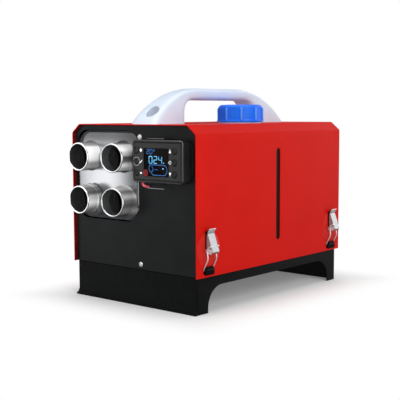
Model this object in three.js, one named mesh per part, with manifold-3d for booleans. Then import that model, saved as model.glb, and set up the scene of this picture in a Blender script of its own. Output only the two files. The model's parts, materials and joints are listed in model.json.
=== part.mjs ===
// Portable diesel air heater in a lift-off steel hood. Millimetres, +Z up, outlets and controller at -Y.
// The origin is under the middle of the outer box, at the height of the floor.
import * as THREE from 'three';
import { mergeVertices } from 'three/addons/utils/BufferGeometryUtils.js';
import { ConvexGeometry } from 'three/addons/geometries/ConvexGeometry.js';
import Module from 'manifold-3d';

const wasm = await Module();
wasm.setup();

// Fits and working values shared by all pieces
const touch = 0.3;
const slide = 0.5;
const overrun = 2;
const weld = 1e-4;
const round = { large: 24, medium: 18, small: 8, wire: 6 };
const arcSteps = 2;
const archSteps = 5;

// Hood: one folded sheet, open at both ends and below
const hood = { width: 250, length: 364, top: 263, lowerEdge: 52, sheet: 1.2, chamferAcross: 16, chamferDown: 13 };
const slot = { y: 8.7, width: 9.6, low: 86.4, high: 225.7 };
const hoodHalf = hood.width / 2;
const hoodHalfLength = hood.length / 2;
const hoodInnerHalf = hoodHalf - hood.sheet;
const hoodInnerTop = hood.top - hood.sheet;

// Black base tray and the two end panels
const tray = { sideInset: 3.2, recess: 5.5, wall: 1.5, footLength: 23.5, archTop: 37, archRadius: 30 };
const lip = { reach: 4.5, height: 3 };
const tab = { width: 26, height: 18 };
const panel = { sheet: 1.5, flange: 9 };
const faceY = hoodHalfLength - tray.recess;
const trayTop = hood.lowerEdge;
const trayHalf = hoodHalf - tray.sideInset;
const deckTop = trayTop + touch;
const panelBack = faceY - panel.sheet;
const screw = { lowZ: 60.6, highZ: 245, shank: 1.9, length: 11, head: 3.7, headHeight: 2.4, clear: 0.4 };

// Heater unit on its shelf: the axis of its shaft runs along Y
const heaterFit = { sideRoom: 13.8, frontRoom: 54, backRoom: 12, width: 112 };
const heater = {
  x: heaterFit.sideRoom + heaterFit.width / 2 - hoodInnerHalf, z: 164,
  width: heaterFit.width, height: 118,
  front: heaterFit.frontRoom - hoodHalfLength, back: hoodHalfLength - heaterFit.backRoom,
  wall: 2.5, corner: 14,
};
const nose = { radius: 31, length: 8, wall: 2.5 };
const inletRadius = 42;
const shelfFit = { front: 8, back: 42 };
const shelf = {
  sheet: 1.5, front: heater.front + shelfFit.front, back: heater.back - shelfFit.back,
  overhang: 2, flange: 12,
};
const heaterBottom = heater.z - heater.height / 2;
const shelfTop = heaterBottom - touch;
const behindFront = { exchanger: 28, burner: 42 };
const beforeBack = {
  exchanger: 122, glow: 111, shaftTip: 97, burnerFan: 96, plate: 84, boardFront: 74, boardBack: 32,
  motor: 28, mainFan: 24, shaftEnd: 4,
};
const exchanger = {
  front: heater.front + behindFront.exchanger, back: heater.back - beforeBack.exchanger,
  shell: 31, bore: 26, fin: 46, finThick: 2.4, fins: 7,
};
const footFit = { middle: 48, exhaust: 70, intake: 22 };
const foot = { halfX: 24, halfY: 40, y: exchanger.back - footFit.middle };
const stub = {
  exhaustY: exchanger.back - footFit.exhaust, intakeY: exchanger.back - footFit.intake,
  radius: 11, wall: 1.2, low: 38.5, bead: 1.6, beadHeight: 5, beadDrop: 9,
};
const spigot = { radius: 2.6, reach: 7 };
const burner = { radius: 22, wall: 1.5, front: heater.front + behindFront.burner, roomAbove: 16.5, flangeDepth: 22, liner: 20.5 };
const glow = { radius: 5, tipZ: 22, hex: 8, hexHeight: 7, y: heater.back - beforeBack.glow };
const motor = {
  plateY: heater.back - beforeBack.plate, plate: 3, can: 22, back: heater.back - beforeBack.motor,
  boss: 10, bossReach: 2, bore: 3.3, airHole: 14,
};
const motorHole = { fromSide: 20, fromTop: 21 };
const shaft = { radius: 3, front: heater.back - beforeBack.shaftTip, back: heater.back - beforeBack.shaftEnd };
const burnerFan = {
  radius: 24, disc: 2, front: heater.back - beforeBack.burnerFan, hub: 8, bladeTall: 7, blade: 1.6, blades: 8,
};
const mainFan = {
  radius: 38, hub: 16, front: heater.back - beforeBack.mainFan, depth: 18, blade: 2, chord: 18, blades: 9, pitch: 0.7,
};
const board = {
  halfX: 30, front: heater.back - beforeBack.boardFront, back: heater.back - beforeBack.boardBack,
  z: 206, thick: 1.6, boss: 3, bossInset: 5,
};
const boardPart = { height: 6, length: 14, width: 20 };
const heaterHalfX = heater.width / 2;
const heaterTop = heater.z + heater.height / 2;
const burnerFlange = heater.height / 2 - heater.wall - burner.roomAbove;

// Silver outlet casting with its four tubes
const outletFit = { left: 64, right: 62, flange: 76, openLeft: 67.5, openRight: 63, tubes: 1.8, screw: 6.5 };
const outlet = {
  left: heater.x - outletFit.left, right: heater.x + outletFit.right, low: 126, high: 252, corner: 26, proud: 0.5, plate: 4, flange: 2,
};
const screwX = outlet.right + outletFit.screw;
const outletFlange = { right: heater.x + outletFit.flange, low: 119, high: 256 };
const opening = {
  left: heater.x - outletFit.openLeft, right: heater.x + outletFit.openRight, low: 125, high: 253,
};
const tube = {
  radius: 21, wall: 2, reach: 26, pitchX: 69, pitchZ: 64, middleX: heater.x + outletFit.tubes, middleZ: 183, flare: 11,
};
const flareShares = [0, 0.3, 0.6, 0.85, 1];
const funnel = { margin: 4, wall: 2.5, collar: 34, collarLength: 6 };

// Fuel tank with its handle, neck and cap
const tankFit = { shelfGap: 9, sideGap: 5.8, frontGap: 28, backGap: 57 };
const tank = {
  left: heater.x + heaterHalfX + shelf.overhang + tankFit.shelfGap,
  right: hoodInnerHalf - tankFit.sideGap,
  front: tankFit.frontGap - panelBack,
  back: panelBack - tankFit.backGap,
  hoodGap: 3.8, wall: 3, corner: 12,
};
const tankTop = hoodInnerTop - tank.hoodGap;
const ledgeFit = { aboveHeater: 9, behindFront: 27, beforeBack: 6, strapDrop: 12 };
const ledge = {
  left: -26, low: heaterTop + ledgeFit.aboveHeater,
  front: tank.front + ledgeFit.behindFront, back: tank.back - ledgeFit.beforeBack,
  strapLow: hood.top - ledgeFit.strapDrop,
};
const lug = { radius: 7, depth: 9 };
const tankOutlet = { x: 60, z: 70, reach: 6 };
const handle = { x: 2, setback: 19, leg: 74, gripRun: 103, rise: 53.5, grip: 18.5, wide: 50, narrow: 34, wall: 3.5 };
const bend = { footIn: 17, footDown: 28.5, topIn: 56, topDown: 1.5, gapDown: 33.5, gapIn: 5 };
const handleFoot = hoodHalfLength - handle.setback;
const handleTop = hood.top + handle.rise;
const neck = { x: 56.5, y: 2.5, radius: 25.5, bore: 21, rise: 21, collar: 33.5, collarRise: 1.9 };
const neckTop = hood.top + neck.rise;
const collarTop = hood.top + neck.collarRise;
const seal = { overlap: 0.4, gap: 1, thick: 2.4 };
const cap = { threadRoom: 1.5, wall: 7.4, roof: 4.5, flange: 1.9, flangeHeight: 2.2, bevel: 3 };
const capRib = { proud: 1.6, half: 1.6, count: 9 };
const capLow = collarTop + touch;
const capBore = neck.radius + cap.threadRoom;
const capCeiling = neckTop + seal.thick + 2 * touch;
const capTop = capCeiling + cap.roof;
const capRadius = capBore + cap.wall;
const capFlange = capRadius + cap.flange;
const hoodHole = { handle: 3, cap: 3.5 };
const levelStrip = { half: 12, thick: 3.4, margin: 8 };

// Fuel pump, filter and lines
const pumpFit = { aside: 30 };
const pump = {
  x: heater.x - pumpFit.aside, z: 76, radius: 15, front: 30, back: 95, spigot: 3, spigotReach: 6, foot: 8, footLength: 24,
};
const filterFit = { fromEnd: 32 };
const filter = { y: hoodHalfLength - filterFit.fromEnd, z: 70, radius: 11, left: 2, right: 38, spigot: 3, spigotReach: 6 };
const line = { radius: 3, steps: 10 };

// Power socket and inlet guard at the back
const socketFit = { fromSide: 53.8 };
const socket = {
  x: hoodInnerHalf - socketFit.fromSide, z: 82, halfX: 13, halfZ: 9, depth: 15, flange: 4, plate: 2.5,
  recess: 10, wall: 3,
};
const guard = { radius: 46, ring: 4, plate: 2.5, spoke: 2.4, middle: 26, hub: 9, spokes: 8, hole: 40 };

// Controller in its holder on the front panel
const controlFit = { beside: 8, width: 96 };
const control = {
  left: outlet.right + controlFit.beside, right: outlet.right + controlFit.beside + controlFit.width,
  low: 182, high: 242, depth: 15, corner: 6, wall: 2.2,
};
const fromLeft = { holder: 3, clip: 26, clipEnd: 57, screen: 22, screenEnd: 69.5, keys: 8.2, keysEnd: 80, hang: 11 };
const holderReach = 5;
const holder = {
  left: control.left + fromLeft.holder, right: control.right + holderReach, low: 184, high: 240, sheet: 2,
  corner: 12,
};
const clip = {
  left: control.left + fromLeft.clip, right: control.left + fromLeft.clipEnd, reach: 12, sheet: 1.5,
};
const screen = {
  left: control.left + fromLeft.screen, right: control.left + fromLeft.screenEnd, low: 191.2, high: 230.5,
  glass: 1.6, sunk: 0.4, corner: 1,
};
const key = {
  radius: 4.2, flange: 5.3, flangeDepth: 0.9, proud: 0.9, clear: 0.3,
  leftX: control.left + fromLeft.keys, rightX: control.left + fromLeft.keysEnd,
};
const keyRows = { high: 227, middle: 211.4, low: 195.2 };
const circuit = { thick: 1.6, inset: 3, dome: 2.2, domeGap: 0.9 };
const lead = {
  radius: 1.8, x: screen.left, down: 8.2, dropX: control.left + fromLeft.hang, back: 16.5,
};
const leadZ = control.low - lead.down;

// Draw latch on a backing plate; u points out of the hood, z is counted from the pivot
const latch = { fromEnd: 26, pivotZ: 89, pivotOut: 8.5, pin: 1.5, turn: 8, turnTilt: 20 };
const latchY = hoodHalfLength - latch.fromEnd;
const backing = { out: 1.2, half: 9.4, low: -10, high: 29 };
const ear = { thick: 0.9, inner: 7.3, radius: 4, root: 2.6 };
const lever = { half: 7, cheek: 1.2, sheet: 1.4 };
const leverSkin = {
  lowOut: 13.6, lowZ: -2.4, beltOut: 14.2, beltZ: 4, topOut: 4.4, topZ: 24.6, lipOut: 8.2, lipZ: 29,
};
const bail = { radius: 0.9, half: 9.4, kneeOut: 10.6, kneeZ: -12, barOut: -1.5, barZ: -27 };
const hookWindow = { half: 10.75, low: 56.5, high: 66.3 };
const hook = { half: 7.4, sheet: 1.3, foot: 12, lipIn: 2.4, lipDrop: 1.5 };

// Materials
function finish(color, roughness, metalness) {
  return new THREE.MeshStandardMaterial({ color, roughness, metalness });
}
const red = finish(0xcb1e12, 0.42, 0.1);
const black = finish(0x1f2022, 0.55, 0.1);
const silver = finish(0xb9bcbf, 0.3, 0.9);
const zinc = finish(0xd4d6d8, 0.25, 1);
const poly = finish(0xe8eefa, 0.5, 0);
const blue = finish(0x166cfa, 0.45, 0);
const smoke = finish(0x14100f, 0.2, 0);
const steel = finish(0x8f9296, 0.45, 0.9);
const rubber = finish(0x161616, 0.85, 0);
const green = finish(0x1f5a34, 0.6, 0);
const pinkWire = finish(0xd8606a, 0.6, 0);

// Solids
function triangles(geometry) {
  const bare = geometry.clone();
  bare.deleteAttribute('normal');
  bare.deleteAttribute('uv');
  const merged = mergeVertices(bare, weld);
  const index = merged.index.array;
  const kept = [];
  for (let i = 0; i < index.length; i += 3) {
    const [a, b, c] = [index[i], index[i + 1], index[i + 2]];
    if (a !== b && b !== c && c !== a) kept.push(a, b, c);
  }
  return { points: merged.attributes.position.array, kept };
}

function asSolid(geometry) {
  const { points, kept } = triangles(geometry);
  const arrays = { vertProperties: new Float32Array(points), triVerts: new Uint32Array(kept) };
  return new wasm.Manifold(new wasm.Mesh({ numProp: 3, ...arrays }));
}

function asMesh(name, solid, material) {
  const { vertProperties, triVerts } = solid.getMesh();
  const geometry = new THREE.BufferGeometry();
  geometry.setAttribute('position', new THREE.BufferAttribute(vertProperties, 3));
  geometry.setIndex(new THREE.BufferAttribute(triVerts, 1));
  geometry.computeVertexNormals();
  const mesh = new THREE.Mesh(geometry, material);
  mesh.name = name;
  return mesh;
}

function joined(solids) {
  return solids.reduce((sum, next) => sum.add(next));
}

function block(x0, x1, y0, y1, z0, z1) {
  const geometry = new THREE.BoxGeometry(x1 - x0, y1 - y0, z1 - z0);
  geometry.translate((x0 + x1) / 2, (y0 + y1) / 2, (z0 + z1) / 2);
  return asSolid(geometry);
}

function extruded(shape, depth, curveSegments = arcSteps) {
  return new THREE.ExtrudeGeometry(shape, { depth, bevelEnabled: false, curveSegments });
}

// An outline in (x, z) pushed along Y
function alongY(shape, y0, y1) {
  const geometry = extruded(shape, y1 - y0);
  geometry.rotateX(Math.PI / 2);
  geometry.translate(0, y1, 0);
  return asSolid(geometry);
}

// An outline in (y, z) pushed along X
function alongX(shape, x0, x1, steps = arcSteps) {
  const geometry = extruded(shape, x1 - x0, steps);
  const axes = [[0, 1, 0], [0, 0, 1], [1, 0, 0]].map((axis) => new THREE.Vector3(...axis));
  geometry.applyMatrix4(new THREE.Matrix4().makeBasis(...axes));
  geometry.translate(x0, 0, 0);
  return asSolid(geometry);
}

// An outline in (x, y) pushed along Z
function alongZ(shape, z0, z1) {
  const geometry = extruded(shape, z1 - z0);
  geometry.translate(0, 0, z0);
  return asSolid(geometry);
}

function polygon(points) {
  return new THREE.Shape(points.map(([a, b]) => new THREE.Vector2(a, b)));
}

function roundedRect(x0, x1, y0, y1, radius) {
  const shape = new THREE.Shape();
  shape.absarc(x1 - radius, y0 + radius, radius, -Math.PI / 2, 0);
  shape.absarc(x1 - radius, y1 - radius, radius, 0, Math.PI / 2);
  shape.absarc(x0 + radius, y1 - radius, radius, Math.PI / 2, Math.PI);
  shape.absarc(x0 + radius, y0 + radius, radius, Math.PI, 1.5 * Math.PI);
  return shape;
}

function rodY(x, z, radius, y0, y1, sides = round.medium) {
  const geometry = new THREE.CylinderGeometry(radius, radius, y1 - y0, sides);
  geometry.translate(x, (y0 + y1) / 2, z);
  return asSolid(geometry);
}

function rodZ(x, y, radius, z0, z1, sides = round.medium) {
  const geometry = new THREE.CylinderGeometry(radius, radius, z1 - z0, sides);
  geometry.rotateX(Math.PI / 2);
  geometry.translate(x, y, (z0 + z1) / 2);
  return asSolid(geometry);
}

function rodX(y, z, radius, x0, x1, sides = round.medium) {
  const geometry = new THREE.CylinderGeometry(radius, radius, x1 - x0, sides);
  geometry.rotateZ(Math.PI / 2);
  geometry.translate((x0 + x1) / 2, y, z);
  return asSolid(geometry);
}

// A profile of [radius, y] turned about the line along Y through (x, z)
function turnedY(profile, x, z, sides = round.large) {
  const geometry = new THREE.LatheGeometry(profile.map(([r, y]) => new THREE.Vector2(r, y)), sides);
  geometry.translate(x, 0, z);
  return asSolid(geometry);
}

// A profile of [radius, z] turned about the line along Z through (x, y)
function turnedZ(profile, x, y, sides = round.large) {
  const geometry = new THREE.LatheGeometry(profile.map(([r, z]) => new THREE.Vector2(r, z)), sides);
  geometry.rotateX(Math.PI / 2);
  geometry.translate(x, y, 0);
  return asSolid(geometry);
}

// Round bar bent at each point, with its rings in the mitre planes
function bentWire(points, radius, sides = round.wire) {
  const places = points.map((point) => new THREE.Vector3(...point));
  const ways = places.slice(1).map((end, i) => end.clone().sub(places[i]).normalize());
  const across = new THREE.Vector3(1, 0, 0).cross(ways[0]).normalize();
  const over = ways[0].clone().cross(across);
  let ringNow = Array.from({ length: sides }, (_, k) => {
    const angle = (k / sides) * 2 * Math.PI;
    return places[0].clone().addScaledVector(across, radius * Math.cos(angle))
      .addScaledVector(over, radius * Math.sin(angle));
  });
  const rings = [ringNow];
  ways.forEach((way, i) => {
    const next = ways[i + 1] ?? way;
    const normal = way.clone().add(next);
    ringNow = ringNow.map((point) => {
      const run = places[i + 1].clone().sub(point).dot(normal) / way.dot(normal);
      return point.clone().addScaledVector(way, run);
    });
    rings.push(ringNow);
  });
  return asSolid(loft(rings.flat().map((point) => point.toArray()), sides));
}

// Soft tube through points that are chosen by hand
function hose(points, radius) {
  const path = new THREE.CatmullRomCurve3(points.map((point) => new THREE.Vector3(...point)));
  const section = new THREE.Shape();
  section.absarc(0, 0, radius, 0, 2 * Math.PI);
  const options = { steps: line.steps, bevelEnabled: false, extrudePath: path, curveSegments: arcSteps + 2 };
  return asSolid(new THREE.ExtrudeGeometry(section, options));
}

function ring(count, make) {
  return Array.from({ length: count }, (_, i) => make((i / count) * 2 * Math.PI));
}

// Convex outline moved inwards: each corner goes to where its two moved edges meet
function inset(points, distance) {
  return points.map(([x, y], i) => {
    const before = points[(i + points.length - 1) % points.length];
    const after = points[(i + 1) % points.length];
    const normal = ([ax, ay], [bx, by]) => {
      const length = Math.hypot(bx - ax, by - ay);
      return [(ay - by) / length, (bx - ax) / length];
    };
    const [first, second] = [normal(before, [x, y]), normal([x, y], after)];
    const share = distance / (1 + first[0] * second[0] + first[1] * second[1]);
    return [x + share * (first[0] + second[0]), y + share * (first[1] + second[1])];
  });
}

// Section of the hood in (x, z), counter-clockwise from its lower left corner
function hoodOutline(low) {
  const shoulder = hood.top - hood.chamferDown;
  const flat = hoodHalf - hood.chamferAcross;
  return [[-hoodHalf, low], [hoodHalf, low], [hoodHalf, shoulder], [flat, hood.top], [-flat, hood.top],
    [-hoodHalf, shoulder]];
}

// The same section inside the sheet, with its lower side at a given height
function withinHood(low, clearance) {
  return inset(hoodOutline(low), hood.sheet + clearance).map(([x, z], i) => [x, i < 2 ? low : z]);
}

function redCover() {
  const half = hoodHalfLength;
  const sheet = alongY(polygon(hoodOutline(hood.lowerEdge)), -half, half)
    .subtract(alongY(polygon(withinHood(hood.lowerEdge - overrun, 0)), -half - overrun, half + overrun));
  const reachX = handle.wide / 2 + hoodHole.handle;
  const reachY = handleFoot + hoodHole.handle;
  const handleHole = roundedRect(handle.x - reachX, handle.x + reachX, -reachY, reachY, reachX / 2);
  const topCut = [hoodInnerTop - overrun, hood.top + overrun];
  const sideCut = [hoodInnerHalf - overrun, hoodHalf + overrun];
  const slotHole = roundedRect(slot.y - slot.width / 2, slot.y + slot.width / 2, slot.low, slot.high, slot.width / 2);
  const cuts = [
    alongZ(handleHole, ...topCut),
    rodZ(neck.x, neck.y, capFlange + hoodHole.cap, ...topCut, round.large),
    alongX(slotHole, ...sideCut),
  ];
  for (const side of [-1, 1]) {
    for (const y of [-latchY, latchY]) {
      const [x0, x1] = side < 0 ? [-sideCut[1], -sideCut[0]] : sideCut;
      cuts.push(block(x0, x1, y - hookWindow.half, y + hookWindow.half, hookWindow.low, hookWindow.high));
    }
  }
  return sheet.subtract(joined(cuts));
}

function screwHoles(y0, y1, heights) {
  return joined(heights.map((z) => rodY(screwX, z, screw.shank + screw.clear, y0, y1, round.small)));
}

function baseTray() {
  const inner = trayHalf - tray.wall;
  const innerY = faceY - tray.wall;
  const box = block(-trayHalf, trayHalf, -faceY, faceY, 0, trayTop);
  const hollow = block(-inner, inner, -innerY, innerY, -overrun, trayTop - tray.wall);
  const archEnd = faceY - tray.footLength;
  const arch = roundedRect(-archEnd, archEnd, -tray.archTop, tray.archTop, tray.archRadius);
  const pipeHoles = [stub.exhaustY, stub.intakeY].map((y) =>
    rodZ(heater.x, y, stub.radius + slide, trayTop - tray.wall - overrun, trayTop + overrun));
  const frontLip = block(-trayHalf, trayHalf, -faceY - lip.reach, -faceY + tray.wall, 0, lip.height);
  const tabBack = panelBack - touch;
  const tabFront = tabBack - tray.wall;
  const tabs = [[-tabBack, -tabFront], [tabFront, tabBack]].map(([y0, y1]) =>
    block(screwX - tab.width / 2, screwX + tab.width / 2, y0, y1, trayTop - tray.wall, trayTop + tab.height));
  return box.subtract(hollow).subtract(alongX(arch, -trayHalf - overrun, trayHalf + overrun, archSteps))
    .add(frontLip).add(joined(tabs)).subtract(joined(pipeHoles))
    .subtract(screwHoles(-faceY - overrun, faceY + overrun, [screw.lowZ]));
}

// End panel: a sheet with returned edges, seen at the front; the back one is turned round
function panelBlank() {
  const outline = withinHood(deckTop, touch);
  const back = -faceY + panel.flange;
  const pocket = inset(outline, panel.sheet).map(([x, z], i) => [x, i < 2 ? deckTop - overrun : z]);
  return alongY(polygon(outline), -faceY, back).subtract(alongY(polygon(pocket), -panelBack, back + overrun));
}

function frontPanel() {
  const cut = [-faceY - overrun, -panelBack + overrun];
  const hole = roundedRect(opening.left, opening.right, opening.low, opening.high, outlet.corner);
  return panelBlank().subtract(alongY(hole, ...cut)).subtract(screwHoles(...cut, [screw.lowZ, screw.highZ]))
    .subtract(rodY(lead.x, leadZ, lead.radius + slide, ...cut, round.small));
}

function rearPanel() {
  const cut = [panelBack - overrun, faceY + overrun];
  const room = { x: socket.halfX + slide, z: socket.halfZ + slide };
  return panelBlank().rotate([0, 0, 180])
    .subtract(rodY(heater.x, heater.z, guard.hole, ...cut, round.large))
    .subtract(block(socket.x - room.x, socket.x + room.x, ...cut, socket.z - room.z, socket.z + room.z))
    .subtract(screwHoles(...cut, [screw.lowZ, screw.highZ]));
}

// Pan head screw pointing into the case; the head lies on the panel at the front
function panelScrew() {
  const seat = -faceY - touch;
  const profile = [[0, seat - screw.headHeight], [screw.head - screw.headHeight / 2, seat - screw.headHeight],
    [screw.head, seat - screw.headHeight / 2], [screw.head, seat], [screw.shank, seat],
    [screw.shank, seat + screw.length], [0, seat + screw.length]];
  return turnedY(profile, screwX, 0, round.small);
}

function heaterShelf() {
  const left = heater.x - heaterHalfX - shelf.overhang;
  const right = heater.x + heaterHalfX + shelf.overhang;
  const outer = block(left, right, shelf.front, shelf.back, deckTop, shelfTop);
  const inner = block(left + shelf.sheet, right - shelf.sheet, shelf.front - overrun, shelf.back + overrun,
    deckTop + shelf.sheet, shelfTop - shelf.sheet);
  const reach = shelf.sheet + shelf.flange;
  const throat = block(left + reach, right - reach, shelf.front - overrun, shelf.back + overrun,
    deckTop - overrun, deckTop + shelf.sheet + overrun);
  const holes = [stub.exhaustY, stub.intakeY].map((y) =>
    rodZ(heater.x, y, stub.radius + slide, shelfTop - shelf.sheet - overrun, shelfTop + overrun));
  const fuelHole = rodZ(fuelInlet.x, fuelInlet.y, line.radius + overrun, shelfTop - shelf.sheet - overrun,
    shelfTop + overrun, round.small);
  return outer.subtract(inner).subtract(throat).subtract(joined(holes)).subtract(fuelHole);
}

// Heater casing, later split into a lower and an upper half at the shaft
function casingSection(clearance) {
  const half = { x: heaterHalfX - clearance, z: heater.height / 2 - clearance };
  return roundedRect(heater.x - half.x, heater.x + half.x, heater.z - half.z, heater.z + half.z,
    heater.corner - clearance);
}

function heaterCasing() {
  const shell = alongY(casingSection(0), heater.front, heater.back)
    .add(rodY(heater.x, heater.z, nose.radius, heater.front - nose.length, heater.front + heater.wall, round.large));
  const room = alongY(casingSection(heater.wall), heater.front + heater.wall, heater.back - heater.wall);
  const noseBore = rodY(heater.x, heater.z, nose.radius - nose.wall, heater.front - nose.length - overrun,
    heater.front + heater.wall + overrun, round.large);
  const inlet = rodY(heater.x, heater.z, inletRadius, heater.back - heater.wall - overrun, heater.back + overrun,
    round.large);
  return shell.subtract(room).subtract(noseBore).subtract(inlet);
}

function casingHalf(upper) {
  const reach = heater.width;
  const edge = heater.z + (upper ? touch / 2 : -touch / 2);
  const [z0, z1] = upper ? [edge, heaterTop + overrun] : [heaterBottom - overrun, edge];
  const keep = block(heater.x - reach, heater.x + reach, heater.front - nose.length - overrun,
    heater.back + overrun, z0, z1);
  return heaterCasing().intersect(keep);
}

function lowerCasing() {
  const room = { x: foot.halfX + touch, y: foot.halfY + touch };
  return casingHalf(false).subtract(block(heater.x - room.x, heater.x + room.x, foot.y - room.y, foot.y + room.y,
    heaterBottom - overrun, heaterBottom + heater.wall + overrun));
}

function upperCasing() {
  const ceiling = heaterTop - heater.wall;
  const bosses = [];
  for (const x of [heater.x - board.halfX + board.bossInset, heater.x + board.halfX - board.bossInset]) {
    for (const y of [board.front + board.bossInset, board.back - board.bossInset]) {
      bosses.push(rodZ(x, y, board.boss, board.z + board.thick + touch, ceiling + heater.wall / 2, round.small));
    }
  }
  return casingHalf(true).add(joined(bosses));
}

// Small turned spigot on the foot of the exchanger where the fuel goes in
const fuelInlet = { x: heater.x - foot.halfX + spigot.reach, y: foot.y };

function heatExchanger() {
  const { front, back, fin, finThick, fins } = exchanger;
  const body = rodY(heater.x, heater.z, exchanger.shell, front, back, round.large);
  const plates = Array.from({ length: fins }, (_, i) => {
    const geometry = new THREE.BoxGeometry(2 * fin, back - front, finThick);
    geometry.rotateY((i / fins) * Math.PI);
    geometry.translate(heater.x, (front + back) / 2, heater.z);
    return asSolid(geometry);
  });
  const base = block(heater.x - foot.halfX, heater.x + foot.halfX, foot.y - foot.halfY, foot.y + foot.halfY,
    heaterBottom, heater.z);
  const bore = rodY(heater.x, heater.z, exchanger.bore, front + overrun * 2, back + overrun, round.large);
  const ports = [stub.exhaustY, stub.intakeY].map((y) =>
    rodZ(heater.x, y, stub.radius - stub.wall, heaterBottom - overrun, heater.z, round.medium));
  const inlet = rodZ(fuelInlet.x, fuelInlet.y, spigot.radius, heaterBottom - spigot.reach,
    heaterBottom + overrun, round.small);
  return body.add(joined(plates)).add(base).subtract(bore).subtract(joined(ports)).add(inlet);
}

function burnerTube() {
  const start = exchanger.back + touch;
  const end = start + burner.flangeDepth;
  const profile = [[burner.liner, burner.front], [burner.radius, burner.front], [burner.radius, start],
    [burnerFlange, start], [burnerFlange, end], [burner.liner, end], [burner.liner, burner.front]];
  return turnedY(profile, heater.x, heater.z)
    .subtract(rodZ(heater.x, glow.y, glow.radius + touch, heater.z, heater.z + burnerFlange + overrun,
      round.small));
}

function glowPlug() {
  const seat = heater.z + burnerFlange + touch;
  return rodZ(heater.x, glow.y, glow.radius, heater.z + glow.tipZ, seat + touch, round.small)
    .add(rodZ(heater.x, glow.y, glow.hex, seat, seat + glow.hexHeight, round.small / 2));
}

function blowerMotor() {
  const plateEnd = motor.plateY + motor.plate;
  const plate = alongY(casingSection(heater.wall + touch), motor.plateY, plateEnd);
  const can = rodY(heater.x, heater.z, motor.can, plateEnd - touch, motor.back);
  const boss = rodY(heater.x, heater.z, motor.boss, motor.plateY - motor.bossReach, plateEnd);
  const cut = [motor.plateY - overrun, plateEnd + overrun];
  const holes = [];
  const [across, up] = [heaterHalfX - motorHole.fromSide, heater.height / 2 - motorHole.fromTop];
  for (const x of [-across, across]) {
    for (const z of [-up, up]) holes.push(rodY(heater.x + x, heater.z + z, motor.airHole, ...cut));
  }
  return plate.subtract(joined(holes)).add(can).add(boss)
    .subtract(rodY(heater.x, heater.z, motor.bore, motor.plateY - overrun * 2, motor.back + overrun, round.small));
}

function motorShaft() {
  return rodY(heater.x, heater.z, shaft.radius, shaft.front, shaft.back, round.small);
}

// Turned about the shaft from its place above it
function turnedBlade(geometry, angle) {
  const blade = geometry.clone();
  blade.rotateY(angle);
  blade.translate(heater.x, 0, heater.z);
  return asSolid(blade);
}

function combustionFan() {
  const { radius, disc, front, hub, bladeTall, blade, blades } = burnerFan;
  const mid = (hub + radius) / 2;
  const vane = new THREE.BoxGeometry(radius - hub + disc, bladeTall + disc, blade);
  vane.translate(mid - disc / 2, front + (bladeTall + disc) / 2, 0);
  return rodY(heater.x, heater.z, radius, front, front + disc)
    .add(rodY(heater.x, heater.z, hub, front, front + disc + bladeTall))
    .add(joined(ring(blades, (angle) => turnedBlade(vane, angle))))
    .subtract(rodY(heater.x, heater.z, shaft.radius + touch, front - overrun, front + disc + bladeTall + overrun,
      round.small));
}

function blowerWheel() {
  const { radius, hub, front, depth, blade, chord, blades, pitch } = mainFan;
  const vane = new THREE.BoxGeometry(radius - hub + blade, chord, blade);
  vane.rotateX(pitch);
  vane.translate((hub + radius - blade) / 2, front + depth / 2, 0);
  return rodY(heater.x, heater.z, hub, front, front + depth)
    .add(joined(ring(blades, (angle) => turnedBlade(vane, angle))))
    .subtract(rodY(heater.x, heater.z, shaft.radius + touch, front - overrun, front + depth + overrun, round.small));
}

function controlBoard() {
  const x0 = heater.x - board.halfX;
  const plate = block(x0, heater.x + board.halfX, board.front, board.back, board.z, board.z + board.thick);
  const middle = (board.front + board.back) / 2;
  const chips = [-1, 0, 1].map((place) => {
    const x = heater.x + place * boardPart.width - boardPart.width / 3;
    return block(x, x + boardPart.length, middle - boardPart.length / 2, middle + boardPart.length / 2,
      board.z - boardPart.height, board.z + board.thick / 2);
  });
  return plate.add(joined(chips));
}

// Exhaust and intake stubs: open tubes with a raised bead for a clamp
function airStub(y, wall) {
  const top = heaterBottom - touch;
  const { radius, low, bead, beadHeight, beadDrop } = stub;
  const inner = radius - wall;
  const beadLow = low + beadDrop - beadHeight;
  const profile = [[inner, low], [radius, low], [radius, beadLow], [radius - bead / 2, beadLow],
    [radius - bead / 2, low + beadDrop], [radius, low + beadDrop], [radius, top], [inner, top], [inner, low]];
  return turnedZ(profile, heater.x, y, round.medium);
}

function plateOutline() {
  return roundedRect(outlet.left, outlet.right, outlet.low, outlet.high, outlet.corner);
}

// Funnel between the square plate and the round nose of the heater
function funnelSolid(margin, collar, y0, y1) {
  const square = roundedRect(outlet.left + margin, outlet.right - margin, outlet.low + margin,
    outlet.high - margin, outlet.corner);
  const circle = new THREE.Shape();
  circle.absarc(heater.x, heater.z, collar, 0, 2 * Math.PI);
  const at = (shape, y, steps) => shape.getPoints(steps).map((p) => new THREE.Vector3(p.x, y, p.y));
  return asSolid(new ConvexGeometry([...at(square, y0, arcSteps), ...at(circle, y1, round.small)]));
}

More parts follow.
